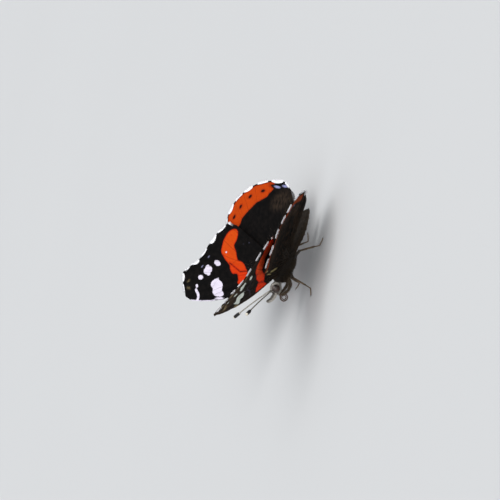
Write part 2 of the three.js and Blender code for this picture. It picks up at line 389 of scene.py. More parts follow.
def join(name: str, parts: Sequence[Piece]) -> Piece:
    """Join several objects into the first.

    Args:
        name: The joined piece's name.
        parts: The objects.

    Returns:
        The joined piece.
    """
    deselect()
    for part in parts:
        part.select_set(True)
    bpy.context.view_layer.objects.active = parts[0]
    if len(parts) > 1:
        bpy.ops.object.join()
    return named(parts[0], name)


def carry(obj: Piece, materials: Sequence[Material], nodes: Sequence[str] = ()) -> None:
    """Dress a finished piece and let it ride on the model.

    Args:
        obj: The finished piece.
        materials: Its finishes, in slot order.
        nodes: The solids that it stands for.
    """
    if list(obj.data.materials) != list(materials):
        obj.data.materials.clear()
        for material in materials:
            obj.data.materials.append(material)
    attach(obj, "root")
    if nodes:
        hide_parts(*nodes)
    log.info("%s: %d faces", obj.name, len(obj.data.polygons))


@dataclass(frozen=True)
class Stance:
    """How the body stands over the floor."""

    height: float = 5.6
    pitch: float = 7.0
    thorax_front: float = 5.505

    def origin(self) -> Array:
        """The body's own origin in the world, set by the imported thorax.

        Returns:
            The origin in millimetres.
        """
        low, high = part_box("thorax")
        across = (low[0] + high[0]) / 2 / MM
        return np.array([across, low[1] / MM + self.thorax_front, self.height])

    def turn(self) -> Array:
        """The turn from the body's own frame to the world."""
        c, s = math.cos(math.radians(self.pitch)), math.sin(math.radians(self.pitch))
        return np.array([[1, 0, 0], [0, c, s], [0, -s, c]])

    def place(self, points: Array) -> Array:
        """Body points put in the world."""
        return np.asarray(points, float) @ self.turn().T + self.origin()

    def point(self, vectors: Array) -> Array:
        """Body directions turned into the world."""
        return np.asarray(vectors, float) @ self.turn().T


STANCE = Stance()


class Shade:
    """A node sheet for one finish, with short calls for the nodes that it uses."""

    def __init__(self, name: str) -> None:
        """Start a sheet with its shader.

        Args:
            name: The finish's name.
        """
        self.material = bpy.data.materials.new(name)
        self.material.use_nodes = True
        self.tree = self.material.node_tree
        self.shader = self.tree.nodes["Principled BSDF"]

    def plug(self, socket: Socket, value: object) -> None:
        """Set a socket, or link it to another node's output.

        Args:
            socket: The socket.
            value: A number, a colour or the output that it is linked to.
        """
        if isinstance(value, Socket):
            self.tree.links.new(value, socket)
        else:
            socket.default_value = value

    def set(self, **values: object) -> None:
        """Set the shader's sockets, named with underscores for spaces."""
        for name, value in values.items():
            self.plug(self.shader.inputs[name.replace("_", " ")], value)

    def node(self, kind: str, inputs: dict, **settings: str) -> bpy.types.Node:
        """Add a node and set or link its inputs.

        Args:
            kind: Its type, without the word that all types start with.
            inputs: What goes into its inputs, by name or number.
            **settings: Its own settings.

        Returns:
            The node.
        """
        node = self.tree.nodes.new("ShaderNode" + kind)
        for name, value in settings.items():
            setattr(node, name, value)
        for key, value in inputs.items():
            self.plug(node.inputs[key], value)
        return node

    def field(self, name: str) -> Socket:
        """A number stored on the mesh."""
        return self.node("Attribute", {}, attribute_name=name).outputs["Fac"]

    def place(self) -> Socket:
        """The object's own coordinates, in metres."""
        return self.node("TexCoord", {}).outputs["Object"]

    def plan(self, name: str, scale: Triple = (1.0, 1.0, 1.0)) -> Socket:
        """A UV map's coordinates, stretched along each axis."""
        places = self.node("UVMap", {}, uv_map=name).outputs["UV"]
        return self.node("Mapping", {"Vector": places, "Scale": scale}).outputs["Vector"]

    def noise(self, where: Socket, scale: float, detail: float) -> Socket:
        """Soft noise from 0 to 1."""
        return self.node("TexNoise", {"Vector": where, "Scale": scale, "Detail": detail}).outputs[0]

    def cells(self, where: Socket, scale: float) -> tuple[Socket, Socket]:
        """The distance from the middle of each of many small cells, and each cell's own colour."""
        node = self.node("TexVoronoi", {"Vector": where, "Scale": scale})
        return node.outputs["Distance"], node.outputs["Color"]

    def maths(self, operation: str, *values: object) -> Socket:
        """One sum of outputs or numbers."""
        return self.node("Math", dict(enumerate(values)), operation=operation).outputs[0]

    def step(self, value: Socket, low: float, high: float) -> Socket:
        """A smooth step from 0 at low to 1 at high."""
        inputs = {"Value": value, "From Min": low, "From Max": high}
        return self.node("MapRange", inputs, interpolation_type="SMOOTHSTEP").outputs[0]

    def mix(self, share: object, first: object, second: object) -> Socket:
        """A blend, from the first colour at 0 to the second at 1."""
        return self.node("Mix", {0: share, 6: first, 7: second}, data_type="RGBA").outputs[2]

    def scaled(self, colour: Socket, share: Socket) -> Socket:
        """A colour of which a share is kept."""
        return self.node("VectorMath", {0: colour, "Scale": share}, operation="SCALE").outputs[0]

    def bump(self, height: Socket, depth: float, strength: float) -> None:
        """Raise the surface by a height from 0 to 1, whose full depth is told in millimetres."""
        inputs = {"Strength": strength, "Distance": depth * MM, "Height": height}
        self.plug(self.shader.inputs["Normal"], self.node("Bump", inputs).outputs["Normal"])


@dataclass(frozen=True)
class WingScales:
    """The scaled surface of one wing face, coloured by the fields stored on it."""

    name: str
    ground: Colour
    ground_light: Colour
    warm: Colour
    warm_edge: Colour
    warm_back: Colour
    pale: Colour
    pale_shadow: Colour
    blue: Colour
    tan: Colour
    brown: Colour
    marble: float = 0.0
    nerve: float = 0.28
    ragged: float = 0.384
    scale_rows: Triple = (7.0, 9.0, 1.0)
    streak_rows: Triple = (3.2, 0.55, 1.0)
    marble_rows: Triple = (1.0, 0.6, 1.0)
    mottling: float = 900
    clumps: float = 5200
    warm_softness: float = 0.09
    blue_softness: float = 0.1
    pale_softness: float = 0.07
    scale_height: float = 0.02
    roughness: float = 0.9
    gloss: float = 0.06

    def material(self) -> Material:
        """Lay the markings over the ground, each with an edge as ragged as its scales.

        Returns:
            The finish.
        """
        s = Shade(self.name)
        where = s.place()
        ridge, own = s.cells(s.plan("grain", self.scale_rows), 1.0)
        mottling = s.noise(where, self.mottling, 4)
        clumps = s.noise(where, self.clumps, 2)
        streaks = s.noise(s.plan("grain", self.streak_rows), 1.0, 3)
        rough_edge = s.maths("MULTIPLY", s.maths("SUBTRACT", clumps, 0.5), self.ragged)

        def over(base: object, name: str, colour: object, soft: float) -> Socket:
            """Lay one marking over the colours so far."""
            edge = s.maths("ADD", s.field(name), rough_edge)
            return s.mix(s.step(edge, -soft, soft), base, colour)

        ground = s.mix(s.step(mottling, 0.35, 0.75), self.ground, self.ground_light)
        if self.marble:
            veining = s.noise(s.plan("grain", self.marble_rows), 1.0, 5)
            dapple = s.step(veining, 0.5, 0.62)
            ground = s.mix(s.maths("MULTIPLY", dapple, self.marble), ground, self.brown)
        brown = s.maths("MULTIPLY", s.field("brown"), s.step(streaks, 0.25, 0.7))
        colour = s.mix(brown, ground, self.brown)
        tan = s.maths("MULTIPLY", s.field("tan"), s.step(clumps, 0.3, 0.62))
        colour = s.mix(tan, colour, self.tan)
        behind = s.node("SeparateXYZ", {0: s.plan("grain")}).outputs[0]
        hue = s.mix(s.step(behind, 11, 26), self.warm, self.warm_back)
        warm = s.mix(s.step(s.field("warm"), 0.0, 0.45), self.warm_edge, hue)
        warm = s.mix(s.maths("MULTIPLY", s.step(streaks, 0.45, 0.75), 0.35), warm, self.warm_edge)
        colour = over(colour, "warm", warm, self.warm_softness)
        colour = over(colour, "blue", self.blue, self.blue_softness)
        pale = s.mix(s.step(streaks, 0.4, 0.8), self.pale, self.pale_shadow)
        colour = over(colour, "pale", pale, self.pale_softness)
        nerve = s.maths("MULTIPLY", s.step(s.field("vein"), 0.13, 0.03), self.nerve)
        colour = s.mix(nerve, colour, self.ground)
        colour = s.scaled(colour, s.maths("MULTIPLY_ADD", own, 0.22, 0.86))
        s.set(Base_Color=colour, Roughness=self.roughness, Specular_IOR_Level=self.gloss)
        s.bump(s.maths("SUBTRACT", 1.0, ridge), self.scale_height, 0.5)
        return s.material


@dataclass(frozen=True)
class HairFinish:
    """Hair or scale tufts, darker at the root, from one tone to another by tuft."""

    name: str
    dark: Colour
    light: Colour
    tip: Colour
    roughness: float = 0.62
    sheen: float = 0.25
    grime: float = 0.25
    tipping: float = 0.6
    fineness: float = 3500
    gloss: float = 0.15
    sheen_roughness: float = 0.35

    def material(self) -> Material:
        """Blend by each tuft's own tone and by the way along it.

        Returns:
            The finish.
        """
        s = Shade(self.name)
        fine = s.noise(s.place(), self.fineness, 2)
        body = s.mix(s.field("tone"), self.dark, self.light)
        ends = s.maths("MULTIPLY", s.step(s.field("along"), 0.45, 1.0), self.tipping)
        body = s.mix(ends, body, self.tip)
        body = s.mix(s.maths("MULTIPLY", s.step(fine, 0.45, 0.7), self.grime), body, self.dark)
        s.set(Base_Color=body, Roughness=self.roughness, Specular_IOR_Level=self.gloss)
        s.set(Sheen_Weight=self.sheen, Sheen_Roughness=self.sheen_roughness)
        return s.material


@dataclass(frozen=True)
class SkinFinish:
    """The body's skin under its coat, in the coat's own tones."""

    name: str
    dark: Colour
    light: Colour
    fineness: float = 4200
    grime: float = 0.4
    roughness: float = 0.75
    gloss: float = 0.25
    hair_height: float = 0.05

    def material(self) -> Material:
        """Short flat hair as bump, over the coat's tones.

        Returns:
            The finish.
        """
        s = Shade(self.name)
        fine = s.noise(s.place(), self.fineness, 4)
        colour = s.mix(s.field("tone"), self.dark, self.light)
        colour = s.mix(s.maths("MULTIPLY", s.step(fine, 0.4, 0.7), self.grime), colour, self.dark)
        s.set(Base_Color=colour, Roughness=self.roughness, Specular_IOR_Level=self.gloss)
        s.bump(fine, self.hair_height, 0.6)
        return s.material


@dataclass(frozen=True)
class EyeFinish:
    """A brown eye of fine facets with soft darker bands."""

    name: str
    brown: Colour
    dark: Colour
    facets: float = 15000
    bands: float = 900
    roughness: float = 0.28
    coat: float = 0.4
    coat_roughness: float = 0.12
    facet_height: float = 0.012

    def material(self) -> Material:
        """Facets as bump under a smooth gloss.

        Returns:
            The finish.
        """
        s = Shade(self.name)
        where = s.place()
        facet, _ = s.cells(where, self.facets)
        band = s.noise(where, self.bands, 2)
        colour = s.mix(s.step(band, 0.4, 0.62), self.brown, self.dark)
        colour = s.mix(s.maths("MULTIPLY", s.step(facet, 0.3, 0.7), 0.6), colour, self.dark)
        s.set(Base_Color=colour, Roughness=self.roughness)
        s.set(Coat_Weight=self.coat, Coat_Roughness=self.coat_roughness)
        s.bump(s.maths("SUBTRACT", 1.0, facet), self.facet_height, 0.6)
        return s.material


@dataclass(frozen=True)
class BandedFinish:
    """A feeler or leg part whose stored tone runs from its dark to its light colour."""

    name: str
    dark: Colour
    light: Colour
    roughness: float
    fineness: float = 6000
    gloss: float = 0.4
    grain_height: float = 0.02

    def material(self) -> Material:
        """Tone with a little fine grain.

        Returns:
            The finish.
        """
        s = Shade(self.name)
        fine = s.noise(s.place(), self.fineness, 3)
        tone = s.maths("ADD", s.field("tone"), s.maths("MULTIPLY_ADD", fine, 0.5, -0.25))
        colour = s.mix(s.step(tone, 0.25, 0.75), self.dark, self.light)
        s.set(Base_Color=colour, Roughness=self.roughness, Specular_IOR_Level=self.gloss)
        s.bump(fine, self.grain_height, 0.5)
        return s.material


@dataclass(frozen=True)
class FloorFinish:
    """A plain pale studio floor."""

    name: str = "studio_floor"
    colour: Colour = (0.62, 0.62, 0.615, 1.0)
    unevenness: float = 0.03
    roughness: float = 0.9
    gloss: float = 0.1

    def material(self) -> Material:
        """Matt, with the faintest unevenness.

        Returns:
            The finish.
        """
        s = Shade(self.name)
        cloud = s.noise(s.place(), 3, 2)
        darker = tuple(c * (1 - self.unevenness) for c in self.colour[:3]) + (1.0,)
        colour = s.mix(cloud, self.colour, darker)
        s.set(Base_Color=colour, Roughness=self.roughness, Specular_IOR_Level=self.gloss)
        return s.material


UPPER_FORE_SCALES = WingScales(
    name="wing_upper_fore",
    ground=tint(9, 8, 8),
    ground_light=tint(19, 16, 15),
    warm=tint(200, 50, 12),
    warm_edge=tint(176, 40, 9),
    warm_back=tint(196, 70, 14),
    pale=tint(220, 212, 226),
    pale_shadow=tint(200, 191, 208),
    blue=tint(112, 112, 138),
    tan=tint(112, 98, 70),
    brown=tint(50, 38, 28),
)
UPPER_HIND_SCALES = WingScales(
    name="wing_upper_hind",
    ground=tint(9, 8, 8),
    ground_light=tint(19, 16, 15),
    warm=tint(180, 62, 9),
    warm_edge=tint(152, 45, 8),
    warm_back=tint(176, 56, 9),
    pale=tint(244, 236, 246),
    pale_shadow=tint(220, 212, 228),
    blue=tint(136, 138, 178),
    tan=tint(112, 98, 70),
    brown=tint(50, 40, 32),
    nerve=0.2,
)
UNDER_FORE_SCALES = WingScales(
    name="wing_under_fore",
    ground=tint(24, 20, 18),
    ground_light=tint(44, 36, 30),
    warm=tint(242, 60, 24),
    warm_edge=tint(206, 44, 18),
    warm_back=tint(232, 84, 34),
    pale=tint(222, 228, 218),
    pale_shadow=tint(184, 190, 180),
    blue=tint(64, 58, 72),
    tan=tint(150, 132, 96),
    brown=tint(64, 48, 32),
)
UNDER_HIND_SCALES = WingScales(
    name="wing_under_hind",
    ground=tint(12, 10, 9),
    ground_light=tint(27, 21, 16),
    warm=tint(132, 54, 22),
    warm_edge=tint(84, 38, 20),
    warm_back=tint(132, 54, 22),
    pale=tint(206, 208, 196),
    pale_shadow=tint(164, 164, 150),
    blue=tint(84, 86, 106),
    tan=tint(170, 156, 108),
    brown=tint(56, 42, 30),
    marble=0.6,
)
FRINGE_SCALES = HairFinish(
    "wing_fringe", tint(14, 12, 12), tint(253, 252, 254), tint(253, 252, 254), 0.8, 0.0, 0.02, 0.0
)
WING_HAIR = HairFinish("wing_hair", tint(20, 16, 13), tint(78, 64, 49), tint(80, 66, 50), 0.7, 0.06)
BODY_HAIR = HairFinish("body_hair", tint(20, 16, 13), tint(78, 64, 48), tint(66, 54, 40), 0.7, 0.06)
HEAD_HAIR = HairFinish(
    "head_hair", tint(22, 18, 16), tint(222, 216, 206), tint(150, 138, 120), 0.7, 0.06, 0.2, 0.22
)
BODY_SKIN = SkinFinish("body_skin", tint(22, 17, 14), tint(66, 53, 38))
EYE_GLOSS = EyeFinish("eye_facets", tint(66, 42, 28), tint(24, 16, 12))
FEELER_FINISH = BandedFinish("feeler_rings", tint(17, 15, 14), tint(226, 218, 200), 0.5)
LEG_FINISH = BandedFinish("leg_shell", tint(30, 23, 18), tint(116, 94, 66), 0.55)
LEG_HAIR = HairFinish("leg_hair", tint(30, 24, 19), tint(118, 98, 70), tint(100, 82, 58))
TONGUE_FINISH = BandedFinish("tongue_shell", tint(40, 26, 18), tint(92, 62, 38), 0.4)


@dataclass(frozen=True)
class Vein:
    """One vein: its way point at the end of the cell, its end, and where it leaves its stem."""

    name: str
    way: Pair
    end: Pair
    start: float = 0.0
    stem: str = ""
    edge: bool = False
    dip: float = 0.0
    swell: float = 0.0


@dataclass(frozen=True)
class WingPlan:
    """A wing laid flat: its root chord, its veins front to back, and its fringed stretch."""

    front: Pair
    back: Pair
    veins: tuple[Vein, ...]
    cell: Pair
    fringe: Pair
    sheet_low: Pair
    fringe_inset: float = 0.42
    cell_step: float = 0.45
    vein_points: int = 26
    cell_points: int = 14

    @property
    def last(self) -> int:
        """The number of the rearmost line."""
        return len(self.veins) - 1

    def index(self, name: str) -> int:
        """A vein's place in the row."""
        return [vein.name for vein in self.veins].index(name)

    def ends(self, across: Array) -> Array:
        """The margin's points for places across the wing.

        Args:
            across: Places in veins from the front edge.

        Returns:
            Plan points on the margin.
        """
        knots = [0.0]
        points = [np.array(self.veins[0].end)]
        for i in range(1, len(self.veins)):
            before, vein = self.veins[i - 1], self.veins[i]
            start, stop = np.array(before.end), np.array(vein.end)
            reach = vein.swell - (before.dip if i < self.last else 0.0)
            ahead = (stop - start) / np.hypot(*(stop - start))
            knots += [i - 0.5, float(i)]
            points += [(start + stop) / 2 + reach * np.array([-ahead[1], ahead[0]]), stop]
        return spline(knots, points, across)

    def point(self, across: Array, along: Array, inset: float = 0.0) -> Array:
        """Plan points of the membrane.

        Args:
            across: Places in veins from the front edge.
            along: The share of the way from root to margin.
            inset: How far the margin is drawn in behind the fringe.

        Returns:
            One plan point for each pair.
        """
        share = (across / self.last)[:, None]
        root = np.array(self.front) * (1 - share) + np.array(self.back) * share
        way = spline(range(len(self.veins)), [vein.way for vein in self.veins], across)
        end = self.ends(across)
        held = ease(across, self.fringe[0] - 0.6, self.fringe[0] + 0.4)
        held = held * (1 - ease(across, self.fringe[1] - 0.3, self.fringe[1] + 0.3))
        end = end - unit(end - way) * (inset * held)[:, None]
        c = self.cell_step
        first, second = (way - root) / c, (end - way) / (1 - c)
        slope = first * (1 - c) + second * c
        t = along[:, None]
        inner = t < c
        part = np.where(inner, t / c, (t - c) / (1 - c))
        leaving = np.where(inner, first * c, slope * (1 - c))
        arriving = np.where(inner, slope * c, second * (1 - c))
        return hermite(part, np.where(inner, root, way), leaving, np.where(inner, way, end), arriving)

    def paths(self) -> Fields:
        """Each vein's run over the plan, with its branch from the stem and the cell's end.

        Returns:
            The runs by name.
        """
        found = {}
        for i, vein in enumerate(self.veins):
            if vein.edge:
                continue
            along = np.linspace(vein.start, 1.0, self.vein_points)
            run = self.point(np.full(self.vein_points, float(i)), along)
            if vein.stem:
                stem = np.array([float(self.index(vein.stem))])
                leaves = self.point(stem, np.array([max(vein.start - 0.1, 0.02)]))
                run = np.vstack([leaves, run])
            found[vein.name] = run
        across = np.linspace(*self.cell, self.cell_points)
        found["cell_end"] = self.point(across, np.full(self.cell_points, self.cell_step))
        return found


FORE_PLAN = WingPlan(
    front=(-0.6, 0.9),
    back=(-0.6, -1.3),
    cell=(5, 9),
    fringe=(4.2, 12.2),
    sheet_low=(-1.2, -3.8),
    veins=(
        Vein("costa", (6.2, 8.2), (12.3, 13.6), edge=True),
        Vein("subcosta", (7.6, 8.3), (15.8, 15.7)),
        Vein("radius_1", (9.6, 8.6), (19.2, 17.4), 0.45, "radius_5"),
        Vein("radius_2", (11.4, 9.0), (22.2, 18.6), 0.56, "radius_5"),
        Vein("radius_3", (12.8, 9.2), (24.6, 18.6), 0.62, "radius_5"),
        Vein("radius_5", (13.9, 8.7), (27.0, 16.4)),
        Vein("media_1", (14.3, 7.6), (28.3, 13.9), 0.45, dip=0.35),
        Vein("media_2", (14.1, 6.3), (26.7, 11.6), 0.45, dip=0.3),
        Vein("media_3", (13.6, 5.1), (24.6, 8.6), 0.45, dip=0.35),
        Vein("cubitus_1", (12.7, 3.8), (23.6, 4.9), dip=0.35),
        Vein("cubitus_2", (10.6, 2.0), (22.3, 1.2), 0.33, "cubitus_1", dip=0.35),
        Vein("anal_2", (7.6, -1.2), (20.3, -2.2), dip=0.2),
        Vein("inner_edge", (7.0, -2.2), (17.6, -3.2), edge=True),
    ),
)
HIND_PLAN = WingPlan(
    front=(-0.5, 0.6),
    back=(-0.5, -1.5),
    cell=(2, 6),
    fringe=(0.8, 10.2),
    sheet_low=(-1.2, -17.5),
    veins=(
        Vein("costa", (6.0, 2.8), (13.2, 2.4), edge=True),
        Vein("subcosta", (8.2, 1.6), (18.2, 0.2), swell=0.35),
        Vein("sector", (9.6, 0.4), (20.6, -3.6), swell=0.3),
        Vein("media_1", (10.3, -1.2), (21.3, -7.3), 0.45),
        Vein("media_2", (10.3, -2.9), (20.1, -10.8), 0.45),
        Vein("media_3", (9.7, -4.5), (17.9, -13.3), 0.45),
        Vein("cubitus_1", (8.7, -5.9), (14.6, -15.5)),
        Vein("cubitus_2", (6.9, -7.0), (10.0, -16.8), 0.33, "cubitus_1"),
        Vein("anal_2", (3.9, -7.4), (5.2, -16.9)),
        Vein("anal_3", (1.8, -7.0), (2.7, -15.4), 0.33, "anal_2"),
        Vein("inner_edge", (-0.2, -5.8), (0.1, -12.4), edge=True, swell=0.3),
    ),
)


@dataclass(frozen=True)
class WingHold:
    """How one wing is held: its root, its rise, twist and sweep in degrees, and its curves.

    A hindwing's front edge is tucked under the wing ahead.
    """

    side: Side
    root: Triple
    rise: float
    twist: float
    sweep: float
    bend: float = 0.0
    camber: float = 0.0
    bend_reach: float = 25.0
    camber_start: float = 4.0
    camber_reach: float = 10.0
    tuck: float = 0.0
    feel: float = 0.05

    def place(self, plan: Array, off: Array) -> Array:
        """Plan points put in the body's own frame.

        Args:
            plan: Plan points, outward and forward.
            off: How far each stands off the membrane, upward.

        Returns:
            Body points.
        """
        rise, twist, sweep = (math.radians(v) for v in (self.rise, self.twist, self.sweep))
        out = math.cos(sweep) * plan[:, 0] - math.sin(sweep) * plan[:, 1]
        fore = math.sin(sweep) * plan[:, 0] + math.cos(sweep) * plan[:, 1]
        curl = self.camber * (np.maximum(0, fore - self.camber_start) / self.camber_reach) ** 2
        lift = off + self.bend * (out / self.bend_reach) ** 2 + curl - self.tuck * ease(fore, -5, 1)
        ahead = np.array([0.0, math.cos(twist), math.sin(twist)])
        level = np.array([1.0, 0.0, 0.0])
        steep = np.array([0.0, -math.sin(twist), math.cos(twist)])
        along = level * math.cos(rise) + steep * math.sin(rise)
        normal = steep * math.cos(rise) - level * math.sin(rise)
        at = np.array(self.root) + np.outer(out, along) + np.outer(fore, ahead) + np.outer(lift, normal)
        return at * np.array([self.side.value, -1, 1])

    def frame(self, plan: Array) -> tuple[Array, Array, Array]:
        """The wing's own directions at plan points.

        Args:
            plan: Plan points.

        Returns:
            Outward, forward and upward directions in the body's own frame.
        """
        zero = np.zeros(len(plan))
        here = self.place(plan, zero)
        outward = unit(self.place(plan + np.array([self.feel, 0.0]), zero) - here)
        forward = unit(self.place(plan + np.array([0.0, self.feel]), zero) - here)
        upward = unit(self.place(plan, zero + self.feel) - here)
        return outward, forward, upward


HOLDS = {
    "forewing_left": WingHold(Side.LEFT, (1.8, 2.6, 1.1), 31.3, 8.6, -7.4, -2.5, 1.85),
    "forewing_right": WingHold(Side.RIGHT, (1.8, 2.6, 1.1), 31.8, -9.2, -16.1),
    "hindwing_left": WingHold(Side.LEFT, (1.6, -0.8, 0.5), 30.1, 5.7, 15.4, -3.6, tuck=0.5),
    "hindwing_right": WingHold(Side.RIGHT, (1.6, -0.8, 0.5), 31.6, -0.3, 7.9, tuck=0.5),
}


@dataclass(frozen=True)
class Blot:
    """An oval mark on a wing."""

    centre: Pair
    half: Pair
    turn: float = 0.0

    def depth(self, points: Array) -> Array:
        """How deep plan points lie inside it."""
        return in_oval(points, self.centre, self.half, self.turn)


@dataclass(frozen=True)
class Canvas:
    """What markings are laid on: plan points, the veins' runs and the fringed margin's run."""

    points: Array
    veins: Fields
    margin: Array


def blots(points: Array, marks: Sequence[Blot]) -> Array:
    """How deep plan points lie inside any of several marks."""
    return np.max([mark.depth(points) for mark in marks], axis=0)


@dataclass(frozen=True)
class ForePattern:
    """The forewing's markings: the band across it, and the white marks of its tip."""

    band: Outline = (
        (16.5, -2.3), (17.6, -1.9), (18.6, -0.6), (19.1, 1.2), (19.1, 2.7), (18.8, 3.9), (18.3, 4.5),
        (16.5, 5.2), (14.5, 5.8), (13.7, 6.5), (12.5, 7.1), (11.1, 6.5), (10.2, 7.2), (9.6, 8.3),
        (7.6, 7.6), (7.2, 6.2), (8.2, 4.6), (9.1, 4.1), (9.9, 3.6), (11.2, 3.4), (12.4, 3.6),
        (13.2, 3.1), (13.9, 2.2), (14.9, 1.6), (15.3, 1.0), (15.1, 0.0), (15.3, -1.2), (15.7, -2.0),
    )
    band_under: Outline = (
        (16.0, -2.6), (18.6, -2.5), (19.6, -1.2), (19.2, 1.2), (19.0, 3.5), (18.0, 4.7), (15.2, 5.5),
        (12.6, 6.0), (10.2, 6.0), (9.2, 6.6), (8.5, 7.3), (7.5, 7.8), (6.2, 8.0), (4.7, 7.5),
        (3.8, 6.6), (3.3, 5.6), (3.6, 4.8), (4.6, 4.6), (5.6, 4.8), (6.7, 4.5), (7.6, 3.8),
        (9.7, 3.7), (11.3, 3.6), (12.7, 3.4), (13.6, 2.2), (14.8, 1.4), (14.6, -0.8),
    )
    band_line: Outline = ((14.6, 5.35), (12.2, 5.5), (10.3, 5.6), (9.3, 5.0), (7.6, 4.2))
    under_line: Outline = ((10.2, 6.1), (8.6, 5.8), (7.0, 5.1), (5.8, 4.7))
    patch: Outline = (
        (17.8, 11.6), (17.1, 10.6), (16.6, 10.2), (16.2, 9.9), (15.7, 10.3), (15.0, 10.3),
        (14.4, 10.6), (13.9, 11.4), (13.7, 12.0), (13.2, 12.2), (12.7, 12.8), (13.6, 13.5),
        (15.3, 14.1), (16.3, 13.7), (16.8, 13.0), (17.7, 12.6),
    )
    patch_end: Blot = Blot((13.6, 13.95), (1.5, 0.3), 27)
    under_end: Blot = Blot((12.6, 13.3), (1.9, 0.5), 12)
    spots: tuple[Blot, ...] = (
        Blot((18.4, 7.15), (1.1, 0.62), 10),
        Blot((20.0, 9.45), (0.85, 0.7), 5), Blot((20.9, 9.55), (0.7, 0.75), 5),
        Blot((20.1, 10.35), (0.8, 0.7), 10), Blot((21.0, 10.5), (0.7, 0.65), 10),
        Blot((22.0, 12.5), (0.85, 0.55), 25),
        Blot((22.0, 14.7), (0.45, 0.4)),
    )
    tip_line: Outline = ((21.8, 15.7), (21.0, 16.1), (20.3, 16.7), (20.0, 17.7))
    web_line: Outline = ((9.4, 9.4), (12.0, 8.9), (14.8, 9.3), (16.6, 9.0))
    costal_run: Outline = (
        (-0.6, 0.9), (6.2, 8.2), (10.5, 12.1), (15.8, 15.7), (19.2, 17.4), (22.2, 18.6),
    )
    speck: Blot = Blot((17.0, 3.7), (0.27, 0.25))
    flecks: tuple[Blot, ...] = (
        Blot((12.5, -0.44), (0.22, 0.13), 30), Blot((11.0, -1.43), (0.18, 0.1), 30),
        Blot((22.7, 10.0), (0.45, 0.25), 60), Blot((21.8, 7.1), (0.5, 0.22), 60),
    )
    tip_blots: tuple[Blot, ...] = (
        Blot((25.3, 15.0), (0.7, 0.35), 60), Blot((24.4, 16.4), (0.8, 0.4), 20),
    )
    under_blots: tuple[Blot, ...] = (
        Blot((25.8, 13.6), (0.9, 0.5), 60), Blot((24.6, 16.6), (1.3, 0.7), 20),
        Blot((24.4, 11.2), (0.8, 0.35), 60), Blot((22.8, 8.3), (0.8, 0.3), 60),
        Blot((20.3, 15.9), (1.6, 0.5), -15),
    )
    tip_stroke: float = 0.4
    band_line_half: float = 0.06
    under_line_half: float = 0.02
    costal_half: float = 0.2
    web_half: float = 0.1

    def whites(self, points: Array) -> Array:
        """How deep plan points lie inside any white mark.

        Args:
            points: Plan points.

        Returns:
            The depth of each, negative outside.
        """
        marks = np.maximum(inside(points, self.patch), blots(points, self.spots))
        stroke = self.tip_stroke - distance_to_line(points, np.array(self.tip_line))
        return np.maximum(marks, stroke)

    def fields(self, face: Face, canvas: Canvas) -> Fields:
        """The numbers that the wing's finish reads.

        Args:
            face: Which face.
            canvas: What the markings are laid on.

        Returns:
            One number a point, for each field.
        """
        points = canvas.points
        split = distance_to_line(points, np.array(self.band_line))
        x, y = points[:, 0], points[:, 1]
        costal = distance_to_line(points, np.array(self.costal_run))
        if face is Face.UPPER:
            warm = np.minimum(inside(points, self.band), split - self.band_line_half)
            pale = np.maximum(self.whites(points), self.speck.depth(points))
            pale = np.maximum(pale, self.patch_end.depth(points))
            beyond = ease(x, 13, 15)
            pale = np.maximum(pale, (self.costal_half - costal) * beyond - (1 - beyond))
            blue = blots(points, self.flecks) - 0.05
            tan = ease(blots(points, self.tip_blots), -0.1, 0.3) * 0.8
            # Brown towards the root: the base's own dark brown, with its bronze sheen painted in as
            # colour.
            brown = (1 - ease(np.hypot(x, y), 2, 8)) * 0.8
        else:
            joint = distance_to_line(points, np.array(self.under_line))
            cuts = np.minimum(joint - self.under_line_half, costal - 0.5)
            warm = np.minimum(inside(points, self.band_under), cuts)
            pale = np.minimum(self.whites(points) - 0.08, 12.55 + 0.26 * (x - 12) - y)
            web = np.minimum(
                distance_to_line(points, canvas.veins["cell_end"] + np.array([1.2, 1.2])),
                distance_to_line(points, np.array(self.web_line)),
            )
            blue = self.web_half - web
            tan = ease(blots(points, self.under_blots + (self.under_end,)), -0.2, 0.3)
            brown = ease(x + 0.5 * y, 22.5, 27) * 0.95
            brown = np.maximum(brown, 0.8 * (1 - ease(costal, 0.2, 0.8)))
        return {"warm": warm, "pale": pale, "blue": blue, "tan": tan, "brown": brown}


